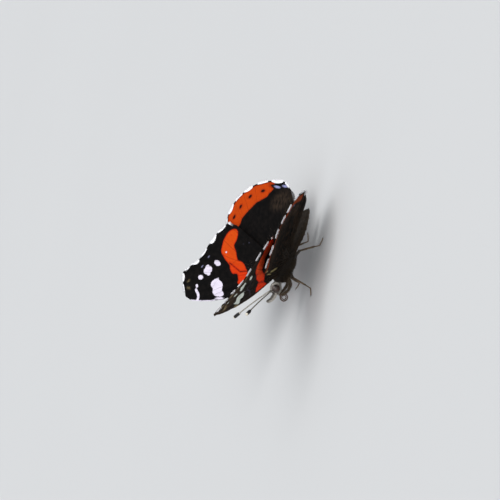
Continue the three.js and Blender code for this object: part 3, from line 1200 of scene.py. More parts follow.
@dataclass(frozen=True)
class HindPattern:
    """The hindwing's markings: the band along its margin with its dots, and the corner spots."""

    band_inner: Outline = (
        (8.2, -14.9), (9.0, -13.9), (9.6, -12.9), (11.1, -12.0), (12.8, -11.1), (14.1, -9.7),
        (15.2, -8.3), (16.1, -7.1), (16.4, -6.0), (17.3, -4.5), (18.6, -3.0), (20.4, -2.4),
    )
    band_outer: Outline = (
        (22.5, -3.0), (23.5, -7.3), (22.0, -12.0), (19.0, -15.5), (15.5, -17.5), (10.5, -18.2),
        (8.4, -17.2),
    )
    dots: tuple[Blot, ...] = (
        Blot((11.3, -14.1), (0.55, 0.34), 10), Blot((15.2, -12.5), (0.5, 0.34), 40),
        Blot((17.4, -9.9), (0.5, 0.34), 60), Blot((18.9, -7.3), (0.5, 0.34), 70),
    )
    blue_spots: tuple[Blot, ...] = (
        Blot((7.1, -15.4), (1.05, 0.28), -6), Blot((4.6, -15.75), (0.95, 0.28), -3),
    )
    brown_patch: Blot = Blot((4.8, -12.4), (4.6, 3.2), 30)
    under_eyes: tuple[Blot, ...] = (
        Blot((18.6, -6.1), (0.5, 0.34), 70), Blot((17.7, -9.0), (0.5, 0.34), 60),
        Blot((15.8, -11.6), (0.5, 0.34), 40), Blot((13.2, -13.2), (0.5, 0.34), 15),
        Blot((10.4, -13.9), (0.5, 0.34), 0),
    )
    costal_bars: tuple[Blot, ...] = (
        Blot((8.0, 2.0), (2.3, 0.4), 4), Blot((10.6, 2.8), (2.2, 0.36), -10),
        Blot((14.6, 1.2), (1.4, 0.3), -10),
    )
    upper_rim: float = 0.5
    under_rim: float = 0.7
    under_band: float = 2.5
    under_row: float = 4.6

    def fields(self, face: Face, canvas: Canvas) -> Fields:
        """The numbers that the wing's finish reads.

        Args:
            face: Which face.
            canvas: What the markings are laid on.

        Returns:
            One number a point, for each field.
        """
        points = canvas.points
        rim = distance_to_line(points, canvas.margin)
        x, y = points[:, 0], points[:, 1]
        pale = np.full(len(points), -1.0)
        if face is Face.UPPER:
            blue = blots(points, self.blue_spots)
            band = inside(points, self.band_inner + self.band_outer)
            warm = np.minimum(band, -blots(points, self.dots))
            warm = np.minimum(warm, np.minimum(-blue - 0.3, rim - self.upper_rim))
            tan = np.zeros(len(points))
            brown = ease(self.brown_patch.depth(points), 0, 2.2)
            # Brown along the root: the base's own dark brown, with its bronze sheen painted in as
            # colour.
            brown = np.maximum(brown, (1 - ease(x + 0.1 * y, 0, 2.5)) * 0.8)
        else:
            warm = np.where(x > 5.5, np.minimum(self.under_band - rim, rim - self.under_rim), -1.0)
            blue = blots(points, self.under_eyes) - 0.05
            tan = ease(blots(points, self.costal_bars), -0.12, 0.15)
            brown = 0.75 * (1 - ease(np.abs(rim - self.under_row), 0.6, 1.7))
        return {"warm": warm, "pale": pale, "blue": blue, "tan": tan, "brown": brown}


@dataclass(frozen=True)
class TuftStyle:
    """The shape of one kind of tuft."""

    length: float
    width: float
    thickness: float = 0.5
    lift: float = 24.0
    spread: float = 14.0
    droop: float = 0.35
    vary: float = 0.3
    waist: Triple = (0.8, 1.0, 0.7)


class Tufts:
    """Thin solid tufts, all joined as one piece of the coat.

    A tuft has three rings of three points and a tip.
    """

    RINGS = (0.0, 0.33, 0.68)
    SIDES = 3
    POINTS = SIDES * len(RINGS) + 1
    PATCH = 0.003

    def __init__(self, name: str, seed: int) -> None:
        """Start an empty coat piece.

        Args:
            name: The piece's name.
            seed: Where its draws start.
        """
        self.name = name
        self.draw = np.random.default_rng(seed)
        self.points: list[Array] = []
        self.fields: list[Array] = []
        self.uvs: list[Array] = []

    def add(
        self, style: TuftStyle, root: Array, up: Array, lie: Array, uv: Array, tone: Array,
        reach: Array | None = None,
    ) -> None:
        """Grow one batch of tufts.

        Args:
            style: Their shape.
            root: Where they grow, in the body's own frame.
            up: The surface's normals there.
            lie: The way that the coat lies there.
            uv: The roots' places on the skin's unwrap.
            tone: Each tuft's tone, 0 dark to 1 light.
            reach: Each tuft's length as a share of the style's, or none for the whole.
        """
        count = len(root)
        up = unit(up)
        lie = unit(lie - up * np.sum(lie * up, axis=1, keepdims=True))
        across = np.cross(up, lie)
        fan = np.radians(self.draw.normal(0, style.spread, count))[:, None]
        lie = lie * np.cos(fan) + across * np.sin(fan)
        across = np.cross(up, lie)
        lift = np.radians(style.lift + self.draw.normal(0, abs(style.lift) * 0.3, count))[:, None]
        length = (style.length * (1 + self.draw.uniform(-style.vary, style.vary, count)))[:, None]
        if reach is not None:
            length = length * reach[:, None]
        ahead = lie * np.cos(lift) + up * np.sin(lift)
        above = np.cross(ahead, across)
        rows = []
        for step, waist in zip(self.RINGS, style.waist):
            middle = root + ahead * length * step - up * style.droop * length * step**2 * np.sin(lift)
            half = style.width * waist / 2
            rows += [
                middle + across * half,
                middle - across * half,
                middle + above * half * style.thickness * 2,
            ]
        rows.append(root + ahead * length - up * style.droop * length * np.sin(lift))
        self.points.append(np.stack(rows, axis=1).reshape(-1, 3))
        along = np.array([r for r in self.RINGS for _ in range(self.SIDES)] + [1.0])
        self.fields.append(np.stack([np.repeat(tone, self.POINTS), np.tile(along, count)], axis=1))
        patch = np.array([(o, r) for r in self.RINGS for o in (-0.5, 0.5, 0.0)] + [(0.0, 1.0)])
        patch = (patch - np.array([0.0, 0.5])) * self.PATCH
        self.uvs.append((uv[:, None, :] + patch[None]).reshape(-1, 2))

    def build(self) -> Piece:
        """Join every batch into one mesh with its tones and its OFBake map.

        Returns:
            The piece.
        """
        points = np.vstack(self.points)
        tip = self.POINTS - 1
        top = tip - self.SIDES
        faces = [(0, 1, 2)]
        for a, b in ((0, 1), (1, 2), (2, 0)):
            for low in range(0, top, self.SIDES):
                high = low + self.SIDES
                faces += [(low + a, high + b, low + b), (low + a, high + a, high + b)]
            faces.append((top + a, tip, top + b))
        first = np.arange(0, len(points), self.POINTS)
        triangles = (np.array(faces)[None] + first[:, None, None]).reshape(-1, 3)
        volume = sum(np.dot(points[a], np.cross(points[b], points[c])) for a, b, c in faces)
        if volume < 0:
            triangles = triangles[:, ::-1]
        obj = triangle_mesh(self.name, STANCE.place(points), triangles)
        values = np.vstack(self.fields)
        put_field(obj.data, "tone", values[:, 0])
        put_field(obj.data, "along", values[:, 1])
        put_uv(obj.data, "OFBake", np.clip(np.vstack(self.uvs), 0.001, 0.999))
        return obj


@dataclass
class Wing:
    """One wing: its membrane with veins, its fringe and the hair at its root."""

    node: str
    hold: WingHold
    plan: WingPlan
    pattern: ForePattern | HindPattern
    upper: WingScales
    under: WingScales
    seed: int
    columns_per_vein: int = 15
    rows: int = 118
    half_thickness: float = 0.06
    vein_rise: float = 0.075
    vein_reach: float = 0.13
    vein_taper: float = 26.0
    puff: float = 0.1
    grain: Pair = (2.4, 26.0)
    fringe_length: float = 0.8
    fringe_fill: float = 0.28
    fringe_pitch: float = 0.042
    fringe_notch: float = 0.6
    fringe_layers: tuple[Pair, ...] = ((1.0, -4.0), (0.88, 4.0), (0.7, 9.0))
    hanging_layers: tuple[Pair, ...] = ((0.96, -12.0), (0.9, -22.0), (0.9, -4.0), (0.75, 4.0))
    fringe_steps: int = 1200
    crowding: float = 0.68
    sheet_span: float = 46.0
    fore_hair_count: int = 1500
    hind_hair_count: int = 3400
    hair: TuftStyle = TuftStyle(length=1.5, width=0.05, thickness=0.5, lift=9, spread=9, droop=0.5)

    @property
    def word(self) -> str:
        """The name that this wing's pieces start with."""
        return ("hind_wing_" if self.hind else "fore_wing_") + self.hold.side.word

    @property
    def hind(self) -> bool:
        """Whether it is a hindwing."""
        return self.node.startswith("hind")

    def across(self) -> Array:
        """Places across the wing, closer together beside each vein.

        Returns:
            The places in veins from the front edge.
        """
        steps = np.arange(self.columns_per_vein) / self.columns_per_vein
        eased = steps - self.crowding / (2 * math.pi) * np.sin(2 * math.pi * steps)
        rows = [i + eased for i in range(self.plan.last)]
        return np.append(np.concatenate(rows), float(self.plan.last))

    def membrane_grid(self, columns: int) -> tuple[Piece, Array, Array]:
        """Add a flat grid and give it a second face.

        Args:
            columns: How many columns it has.

        Returns:
            The object, and the column and row of each vertex of its first face.
        """
        deselect()
        bpy.ops.mesh.primitive_grid_add(x_subdivisions=columns - 1, y_subdivisions=self.rows - 1, size=2)
        obj = named(bpy.context.object, self.word)
        drop_uvs(obj.data)
        co = corners(obj.data)
        column = np.round((co[:, 0] + 1) / 2 * (columns - 1)).astype(int)
        row = np.round((co[:, 1] + 1) / 2 * (self.rows - 1)).astype(int)
        for scales in (self.upper, self.under):
            obj.data.materials.append(bpy.data.materials.get(scales.name) or scales.material())
        shell = obj.modifiers.new("second_face", "SOLIDIFY")
        shell.thickness = 0.001
        shell.offset = 0
        shell.material_offset = 1
        shell.material_offset_rim = 1
        bpy.ops.object.modifier_apply(modifier=shell.name)
        bpy.ops.object.shade_smooth()
        return obj, column, row

    def build_membrane(self) -> Piece:
        """Shape the membrane: veins raised on both faces, puffed a little between them.

        Returns:
            The piece.
        """
        places = self.across()
        obj, column, row = self.membrane_grid(len(places))
        if self.hold.side is Side.LEFT:
            column = len(places) - 1 - column
        across = places[column]
        along = row / (self.rows - 1)
        plan = self.plan.point(across, along, self.plan.fringe_inset)
        veins = self.plan.paths()
        nearest = np.min([distance_to_line(plan, run) for run in veins.values()], axis=0)
        reach = np.hypot(*(plan - np.array(self.plan.front)).T)
        stout = self.vein_rise * (1.5 - 0.9 * np.clip(reach / self.vein_taper, 0, 1))
        ridge = stout * np.exp(-((nearest / self.vein_reach) ** 2))
        half = self.half_thickness + ridge
        fold = np.sin(math.pi * (across - np.floor(across))) ** 2
        sign = np.where(np.floor(across) % 2 == 0, 1.0, -0.7)
        puff = self.puff * fold * sign * ease(along, 0.15, 0.6)
        margin = self.plan.ends(np.linspace(*self.plan.fringe, 160))
        upper = self.hold.place(plan, puff + half)
        lower = self.hold.place(plan, puff - half)
        move_to(obj.data, STANCE.place(np.vstack([upper, lower])))
        canvas = Canvas(plan, veins, margin)
        top = self.pattern.fields(Face.UPPER, canvas)
        below = self.pattern.fields(Face.UNDER, canvas)
        for name in top:
            put_field(obj.data, name, np.concatenate([top[name], below[name]]))
        put_field(obj.data, "vein", np.tile(nearest, 2))
        grain = np.stack([across, along], axis=1) * np.array(self.grain)
        put_uv(obj.data, "grain", np.vstack([grain, grain]))
        sheet = self.unwrap(plan)
        put_uv(obj.data, "OFBake", np.vstack([sheet, sheet + np.array([0.0, 0.5])]))
        return obj

    def unwrap(self, plan: Array) -> Array:
        """The upper face's places on the unwrap; the under face lies half a sheet higher."""
        return 0.01 + (plan - np.array(self.plan.sheet_low)) / self.sheet_span * np.array([1.0, 0.98])

    def build_fringe(self) -> Piece:
        """Layers of thin vanes along the margin: white between the veins, dark at their ends.

        Returns:
            The piece.
        """
        tufts = Tufts(self.word + "_fringe", self.seed)
        vane = TuftStyle(self.fringe_length, 0.105, 0.22, 0, 4, 0.1, 0.07, (0.8, 1.0, 0.9))
        first, last = self.plan.fringe
        fine = np.linspace(first, last, self.fringe_steps)
        margin = self.plan.ends(fine)
        run = np.concatenate([[0], np.cumsum(np.hypot(*np.diff(margin, axis=0).T))])
        count = int(run[-1] / self.fringe_pitch)
        gap = run[-1] / (last - first)
        near = self.hold.side is Side.LEFT
        for layer, (reach, lift) in enumerate(self.hanging_layers if near else self.fringe_layers):
            at = np.interp(np.linspace(0, run[-1], count), run, fine)
            at = np.clip(at + tufts.draw.normal(0, 0.004, count), first, last)
            ahead = self.plan.ends(np.clip(at + 0.02, 0, self.plan.last)) - self.plan.ends(at - 0.02)
            outward = unit(np.stack([-ahead[:, 1], ahead[:, 0]], axis=1))
            root = self.plan.ends(at) - outward * (self.plan.fringe_inset + 0.12 + 0.05 * layer)
            away = np.abs(at - np.round(at)) * gap + tufts.draw.normal(0, 0.05, count)
            notch = self.fringe_notch * (1 + 0.35 * np.sin(np.round(at) * 2.3)) * (1.3 if near else 1.0)
            white = ease(away, notch - 0.06, notch + 0.06) * self.whiteness(at)
            out, fore, up = self.hold.frame(root)
            lie = out * outward[:, :1] + fore * outward[:, 1:]
            taper = ease(at, first, first + 0.5) * (1 - ease(at, last - 0.6, last))
            seat = self.hold.place(root, np.full(count, 0.02 * (1 - layer)))
            fill = 1 + self.fringe_fill * np.sin(math.pi * at) ** 2
            grown = taper > 0.2
            style = replace(vane, length=vane.length * reach, lift=lift)
            long = (fill * (0.55 + 0.45 * white))[grown]
            sheet = self.unwrap(root)[grown]
            tufts.add(style, seat[grown], up[grown], lie[grown], sheet, white[grown], long)
        return tufts.build()

    def whiteness(self, at: Array) -> Array:
        """Where the fringe is white at all: not at the forewing's tip, and little at the body.

        Args:
            at: Places in veins from the front edge.

        Returns:
            The whiteness, from 0 to 1.
        """
        if self.hind:
            return 1 - ease(at, self.plan.last - 1.4, self.plan.last - 0.9) * 0.85
        return ease(at, 4.25, 4.4) * (1 - ease(at, 11.3, 11.7) * 0.85)

    def build_hair(self) -> Piece:
        """Fine brown hair over the wing's root and, on the hindwing, its inner margin.

        Returns:
            The piece.
        """
        tufts = Tufts(self.word + "_hair", self.seed + 50)
        count = self.hind_hair_count if self.hind else self.fore_hair_count
        for face in Face:
            across = tufts.draw.uniform(0.3, self.plan.last - 0.1, count)
            along = tufts.draw.uniform(0.02, 1.0, count) ** 1.3
            inner = ease(across, 7.0, 9.6) * 0.93 if self.hind else ease(across, 9.5, 12) * 0.25
            keep = along < np.maximum(0.22, inner) + tufts.draw.normal(0, 0.05, count)
            across, along = across[keep], along[keep] * 0.93
            plan = self.plan.point(across, along)
            out, fore, up = self.hold.frame(plan)
            ahead = self.plan.point(across, along + 0.03) - plan
            lie = out * ahead[:, :1] + fore * ahead[:, 1:]
            seat = np.full(len(plan), face.value * self.half_thickness * 0.6)
            root = self.hold.place(plan, seat)
            usual = 0.4 if face is Face.UPPER else 0.2
            tone = np.clip(tufts.draw.normal(usual, 0.22, len(plan)), 0, 1)
            sheet = self.unwrap(plan) + np.array([0.0, 0.0 if face is Face.UPPER else 0.5])
            tufts.add(self.hair, root, up * face.value, lie, sheet, tone)
        return tufts.build()

    def dress(self, materials: Palette) -> None:
        """Build the wing's pieces and hand them over.

        Args:
            materials: The finishes by name.
        """
        membrane = self.build_membrane()
        carry(membrane, list(membrane.data.materials), [self.node])
        carry(self.build_fringe(), [materials["fringe"]])
        carry(self.build_hair(), [materials["wing_hair"]])


@dataclass(frozen=True)
class CoatPlan:
    """One stretch of the coat: where along the body it grows, how far it hangs, and its tufts."""

    name: str
    seed: int
    count: int
    span: Pair
    hang: float
    style: TuftStyle
    finish: str = "body_hair"
    on_face: bool = False


@dataclass
class Body:
    """The body's one skin, from the head over the thorax to the abdomen's tip, and its coat."""

    segments: int = 72
    steps: int = 190
    rings: tuple[tuple[float, ...], ...] = (
        (-8.12, -0.05, 0.12, 0.14), (-7.95, -0.05, 0.55, 0.6), (-7.5, 0.05, 0.92, 0.95),
        (-6.9, 0.1, 1.12, 1.13), (-6.25, 0.15, 1.05, 1.02), (-5.8, 0.15, 0.78, 0.78),
        (-5.5, 0.12, 0.7, 0.7), (-5.2, 0.15, 0.85, 0.85), (-4.8, 0.2, 1.25, 1.25),
        (-3.9, 0.25, 1.66, 1.7), (-2.2, 0.2, 1.9, 1.98), (-0.4, 0.1, 1.85, 1.93),
        (1.1, 0.0, 1.5, 1.56), (1.9, -0.08, 1.15, 1.2), (2.4, -0.1, 1.1, 1.15),
        (3.1, -0.12, 1.3, 1.36), (4.6, -0.18, 1.55, 1.62), (6.4, -0.36, 1.58, 1.64),
        (8.2, -0.5, 1.42, 1.48), (9.9, -0.68, 1.1, 1.15), (11.2, -0.84, 0.72, 0.78),
        (12.0, -0.95, 0.36, 0.42), (12.3, -1.0, 0.1, 0.12),
    )
    abdomen_front: float = 2.4
    segment_pitch: float = 1.24
    groove: float = 0.07
    groove_width: float = 0.13
    full_girth: float = 4.0
    coats: tuple[CoatPlan, ...] = (
        CoatPlan(
            "thorax_coat", 11, 11500, (-5.3, 2.5), 0.35,
            TuftStyle(length=1.25, width=0.085, thickness=0.4, lift=26, spread=16, droop=0.5),
        ),
        CoatPlan(
            "thorax_guard_coat", 14, 3600, (-5.1, 1.9), 0.3,
            TuftStyle(length=1.9, width=0.07, thickness=0.5, lift=34, spread=20, droop=0.6),
        ),
        CoatPlan(
            "abdomen_coat", 12, 11500, (2.0, 12.2), 0.15,
            TuftStyle(length=0.62, width=0.085, thickness=0.3, lift=14, spread=12, droop=0.4),
        ),
        CoatPlan(
            "head_coat", 13, 7200, (-8.05, -5.3), 0.0,
            TuftStyle(length=0.5, width=0.055, thickness=0.4, lift=38, spread=22, droop=0.3),
            finish="head_hair", on_face=True,
        ),
    )

    def ring(self, y: Array) -> tuple[Array, Array, Array]:
        """The body's middle and size at places along it, with a groove between segments.

        Args:
            y: Places along the body.

        Returns:
            The centre heights, half widths and half heights.
        """
        table = np.array(self.rings)
        found = spline(table[:, 0], table[:, 1:], y)
        phase = (y - self.abdomen_front) / self.segment_pitch
        dip = self.groove * np.exp(-(((phase - np.round(phase)) / self.groove_width) ** 2))
        dip = dip * ease(y, self.abdomen_front + 0.3, self.abdomen_front + 1.2)
        dip = dip * (1 - ease(y, 11.0, 12.2))
        return found[:, 0], np.maximum(found[:, 1] - dip, 0.02), np.maximum(found[:, 2] - dip, 0.02)

    def surface(self, y: Array, turn: Array, off: float = 0.0) -> Array:
        """Points of the skin.

        Args:
            y: Places along the body.
            turn: The turn round it, 0 at the top, positive to the left, in radians.
            off: How far they stand off the skin.

        Returns:
            Body points.
        """
        z, width, height = self.ring(y)
        flat = 1 - 0.06 * np.cos(turn * 2)
        return np.stack([
            np.sin(turn) * (width + off) * flat, y, z + np.cos(turn) * (height + off),
        ], axis=1)

    def frame(self, y: Array, turn: Array) -> tuple[Array, Array]:
        """The skin's normals and its backward directions.

        Args:
            y: Places along the body.
            turn: The turn round it.

        Returns:
            Outward normals and backward directions.
        """
        back = unit(self.surface(y + 0.06, turn) - self.surface(y - 0.06, turn))
        around = unit(self.surface(y, turn + 0.05) - self.surface(y, turn - 0.05))
        return unit(np.cross(around, back)), back

    def unwrap(self, y: Array, turn: Array) -> Array:
        """Places on the skin's unwrap: round the body across it, along the body up it."""
        across = 0.5 + turn / (2 * math.pi) * 0.96
        return np.stack([across, 0.02 + (y + 8.3) / 20.8 * 0.96], axis=1)

    def tone(self, y: Array, turn: Array) -> Array:
        """The coat's tone: dark above, paler brown below and at the segments' ends.

        Args:
            y: Places along the body.
            turn: The turn round it.

        Returns:
            The tones, 0 dark to 1 light.
        """
        below = ease(-np.cos(turn), 0.1, 0.9)
        joints = np.abs(((y - self.abdomen_front) / self.segment_pitch) % 1.0 - 0.5) > 0.42
        rings = 0.15 * joints * (y > self.abdomen_front + 0.5)
        return np.clip(0.12 + 0.6 * below + rings, 0, 1)

    def face_tone(self, y: Array, turn: Array) -> Array:
        """The head's tone: pale rings round the eyes and a pale chin, dark on the crown.

        Args:
            y: Places along the body.
            turn: The turn round it.

        Returns:
            The tones, 0 dark to 1 light.
        """
        at = self.surface(y, turn)
        at[:, 0] = np.abs(at[:, 0])
        from_eye = np.linalg.norm(at - np.array(Eye.centre), axis=1)
        ring = np.exp(-(((from_eye - 0.98) / 0.22) ** 2)) * 0.8
        chin = ease(-np.cos(turn), 0.2, 0.9) * 0.6
        return np.clip(0.08 + np.maximum(ring, chin), 0, 1)

    def build_skin(self) -> Piece:
        """Shape a ball into the body.

        Returns:
            The piece.
        """
        obj, ring, turn = ball_grid("body_skin", self.segments, self.steps)
        share = ring / self.steps
        front, end = self.rings[0][0], self.rings[-1][0]
        y = front + (end - front) * (0.5 - 0.5 * np.cos(share * math.pi)) ** 0.92
        move_to(obj.data, STANCE.place(self.surface(y, turn)))
        put_field(obj.data, "tone", self.tone(y, turn))
        put_uv(obj.data, "OFBake", self.unwrap(y, turn))
        return obj

    def build_coat(self, plan: CoatPlan) -> Piece:
        """Grow one stretch of the coat, lying backward and hanging a little down the sides.

        Args:
            plan: What the stretch is like.

        Returns:
            The piece.
        """
        tufts = Tufts(plan.name, plan.seed)
        y = tufts.draw.uniform(*plan.span, plan.count)
        turn = tufts.draw.uniform(-math.pi, math.pi, plan.count)
        _, width, height = self.ring(y)
        keep = tufts.draw.uniform(0, 1, plan.count) < (width + height) / self.full_girth
        y, turn = y[keep], turn[keep]
        up, back = self.frame(y, turn)
        lie = back - UPRIGHT * (plan.hang * np.sin(np.abs(turn)))[:, None]
        tone = self.face_tone(y, turn) if plan.on_face else self.tone(y, turn)
        tone = np.clip(tone + tufts.draw.normal(0, 0.13, len(y)), 0, 1)
        tufts.add(plan.style, self.surface(y, turn, -0.04), up, lie, self.unwrap(y, turn), tone)
        return tufts.build()

    def dress(self, materials: Palette) -> None:
        """Build the skin and its coats and hand them over.

        Args:
            materials: The finishes by name.
        """
        carry(self.build_skin(), [materials["skin"]], ["thorax", "abdomen", "head"])
        for plan in self.coats:
            carry(self.build_coat(plan), [materials[plan.finish]])


def strip_uv(turn: Array, share: Array) -> Array:
    """Places on a round part's unwrap: round it across the sheet, along it up the sheet."""
    return np.stack([0.5 + turn / 6.6, 0.02 + 0.96 * share], axis=1)


def sweep(name: str, path: Array, radii: Array, segments: int) -> Piece:
    """Shape a ball into a round part along a path, closed with a low cone at each end.

    Args:
        name: The piece's name.
        path: Its middle line in world millimetres.
        radii: Its radius at each point of the path.
        segments: Vertices round it.

    Returns:
        The piece, with the share of the way along the path stored as "way".
    """
    count = len(path)
    obj, ring, turn = ball_grid(name, segments, count + 1)
    tangent = unit(np.gradient(path, axis=0))
    side = np.zeros_like(path)
    previous = UPRIGHT if abs(tangent[0, 2]) < 0.9 else np.array([1.0, 0.0, 0.0])
    for i in range(count):
        previous = unit(previous - tangent[i] * np.dot(previous, tangent[i]))
        side[i] = previous
    other = np.cross(tangent, side)
    k = np.clip(ring - 1, 0, count - 1)
    beyond = np.where(ring == 0, -0.5, np.where(ring == count + 1, 0.5, 0.0))[:, None]
    girth = np.where(beyond == 0, radii[k][:, None], 0.0)
    at = path[k] + girth * (side[k] * np.cos(turn)[:, None] + other[k] * np.sin(turn)[:, None])
    at = at + tangent[k] * beyond * radii[k][:, None]
    move_to(obj.data, at)
    put_field(obj.data, "way", k / max(count - 1, 1))
    put_uv(obj.data, "OFBake", strip_uv(turn, ring / (count + 1)))
    return obj


def stretch(stops: Sequence, count: int) -> Array:
    """A smooth line through stops, in even steps.

    Args:
        stops: The points that it passes.
        count: How many points it gets.

    Returns:
        Its points.
    """
    points = np.asarray(stops, float)
    knots = np.concatenate([[0], np.cumsum(np.linalg.norm(np.diff(points, axis=0), axis=1))])
    return spline(knots, points, np.linspace(0, knots[-1], count))


@dataclass
class Eye:
    """One large compound eye."""

    side: Side
    centre: Triple = (0.95, -6.85, 0.3)
    radii: Triple = (0.8, 0.88, 1.0)
    sink: float = 0.02
    segments: int = 56
    rings: int = 36

    def dress(self, materials: Palette) -> None:
        """Shape the eye and hand it over.

        Args:
            materials: The finishes by name.
        """
        deselect()
        bpy.ops.mesh.primitive_uv_sphere_add(segments=self.segments, ring_count=self.rings, radius=1)
        obj = named(bpy.context.object, "eye_" + self.side.word + "_facets")
        drop_uvs(obj.data)
        bpy.ops.object.mode_set(mode="EDIT")
        bpy.ops.mesh.select_all(action="SELECT")
        bpy.ops.transform.resize(value=tuple(radius - self.sink for radius in self.radii))
        bpy.ops.object.mode_set(mode="OBJECT")
        bpy.ops.object.shade_smooth()
        co = corners(obj.data)
        move_to(obj.data, STANCE.place(co + np.array(self.centre) * self.side.mirror))
        ball = np.stack([0.5 + np.arctan2(co[:, 1], co[:, 2]) / 6.6, 0.5 + co[:, 0] * 0.45], axis=1)
        put_uv(obj.data, "OFBake", ball)
        carry(obj, [materials["eye"]], ["eye_" + self.side.word])


@dataclass
class Feeler:
    """One antenna: a ringed shaft that ends in a club with a pale tip."""

    side: Side
    spread: float
    rise: float
    root: Triple = (0.55, -7.5, 0.9)
    sunk: float = 0.5
    length: float = 12.8
    arch: float = 0.18
    shaft: float = 0.15
    club_length: float = 2.3
    club: float = 0.4
    club_widest: float = 0.62
    club_close: float = 0.93
    ring_pitch: float = 0.34
    ring_groove: float = 0.14
    points: int = 260
    segments: int = 18

    def line(self, distance: Array) -> Array:
        """The feeler's middle line, arched a little upward.

        Args:
            distance: Places along it in millimetres.

        Returns:
            Body points.
        """
        spread, rise = math.radians(self.spread), math.radians(self.rise)
        level = np.array([math.sin(spread), -math.cos(spread), 0.0])
        heading = level * math.cos(rise) + UPRIGHT * math.sin(rise)
        arch = np.sin(np.clip(distance / self.length, 0, 1) * math.pi) * self.arch
        line = np.array(self.root) + np.outer(distance, heading) + np.outer(arch, UPRIGHT)
        return line * self.side.mirror

    def thickness(self, distance: Array, into: Array) -> Array:
        """The feeler's radius, with a groove round it at each ring.

        Args:
            distance: Places along it in millimetres.
            into: The share of the way into the club, negative before it.

        Returns:
            The radii.
        """
        bulge = np.where(into > 0, np.sin(math.pi * np.clip(into, 0, 1) ** 0.8) ** 0.9, 0)
        round_end = np.sqrt(np.clip(1 - ((into - self.club_widest) / 0.39) ** 2, 0, 1))
        bulge = np.where(into > self.club_widest, np.maximum(bulge, round_end), bulge)
        phase = distance / self.ring_pitch
        joint = np.exp(-(((phase - np.round(phase)) / 0.16) ** 2))
        groove = self.ring_groove * joint * (1 - 0.6 * np.clip(bulge, 0, 1))
        radii = (self.shaft + (self.club - self.shaft) * bulge) * (1 - groove)
        close = np.sqrt(np.clip(1 - ((into - self.club_close) / 0.08) ** 2, 0.05, 1))
        return np.where(into > self.club_close, radii * close, radii)

    def dress(self, materials: Palette) -> None:
        """Shape the feeler and hand it over.

        Args:
            materials: The finishes by name.
        """
        distance = np.linspace(-self.sunk, self.length, self.points)
        into = (distance - (self.length - self.club_length)) / self.club_length
        radii = self.thickness(distance, into)
        line = STANCE.place(self.line(distance))
        obj = sweep("feeler_" + self.side.word, line, radii, self.segments)
        last = self.points - 1
        ring = np.clip(np.round(read_field(obj.data, "way") * last).astype(int), 0, last)
        phase = distance[ring] / self.ring_pitch
        band = ((phase % 1.0) < 0.3) & (into[ring] < 0.05) & (distance[ring] > 0.4)
        tone = np.where(band, 0.85, 0.0)
        put_field(obj.data, "tone", np.where(into[ring] > 0.86, 1.0, tone))
        carry(obj, [materials["feeler"]], ["antenna_" + self.side.word])


@dataclass
class Palp:
    """One labial palp: a short snout under the face, thick with hair."""

    side: Side
    stops: tuple[Triple, ...] = (
        (0.42, -7.4, -0.1), (0.5, -8.7, 0.0), (0.45, -9.6, 0.35), (0.4, -10.15, 0.85),
    )
    radii_at: tuple[float, ...] = (0, 0.3, 0.65, 0.9, 1)
    radii: tuple[float, ...] = (0.24, 0.27, 0.22, 0.13, 0.04)
    points: int = 46
    segments: int = 20
    hair_count: int = 2300
    hair: TuftStyle = TuftStyle(0.46, 0.05, 0.4, 30, 14, 0.3)

    def dress(self, materials: Palette) -> None:
        """Shape the palp with its hair and hand both over.

        Args:
            materials: The finishes by name.
        """
        line = stretch(self.stops, self.points) * self.side.mirror
        radii = spline(self.radii_at, self.radii, np.linspace(0, 1, self.points))
        obj = sweep("palp_core_" + self.side.word, STANCE.place(line), radii, self.segments)
        put_field(obj.data, "tone", np.full(len(obj.data.vertices), 0.45))
        carry(obj, [materials["skin"]], ["palp_" + self.side.word])
        carry(self.build_hair(line, radii), [materials["head_hair"]])

    def build_hair(self, line: Array, radii: Array) -> Piece:
        """Hair all round the palp, dark above and pale below.

        Args:
            line: The palp's middle line.
            radii: Its radius at each point.

        Returns:
            The piece.
        """
        tufts = Tufts("palp_coat_" + self.side.word, 31 + self.side.value)
        count = self.hair_count
        last = self.points - 1
        place = tufts.draw.uniform(0.05, 1, count)
        i = np.clip((place * last).astype(int), 0, last - 1)
        ahead = unit(line[i + 1] - line[i])
        turn = tufts.draw.uniform(-math.pi, math.pi, count)
        high = unit(np.cross(ahead, np.array([1.0, 0.0, 0.0])))
        high = high * np.where(high[:, 2:] < 0, -1, 1)
        wide = np.cross(ahead, high)
        up = high * np.cos(turn)[:, None] + wide * np.sin(turn)[:, None]
        root = line[i] + up * (radii[i] - 0.03)[:, None]
        tone = 0.9 - 0.75 * ease(np.cos(turn), 0.1, 0.8) + tufts.draw.normal(0, 0.15, count)
        tone = np.clip(tone, 0, 1) * (1 - 0.5 * ease(place, 0.75, 1.0))
        tufts.add(self.hair, root, up, ahead, strip_uv(turn, place), tone)
        return tufts.build()


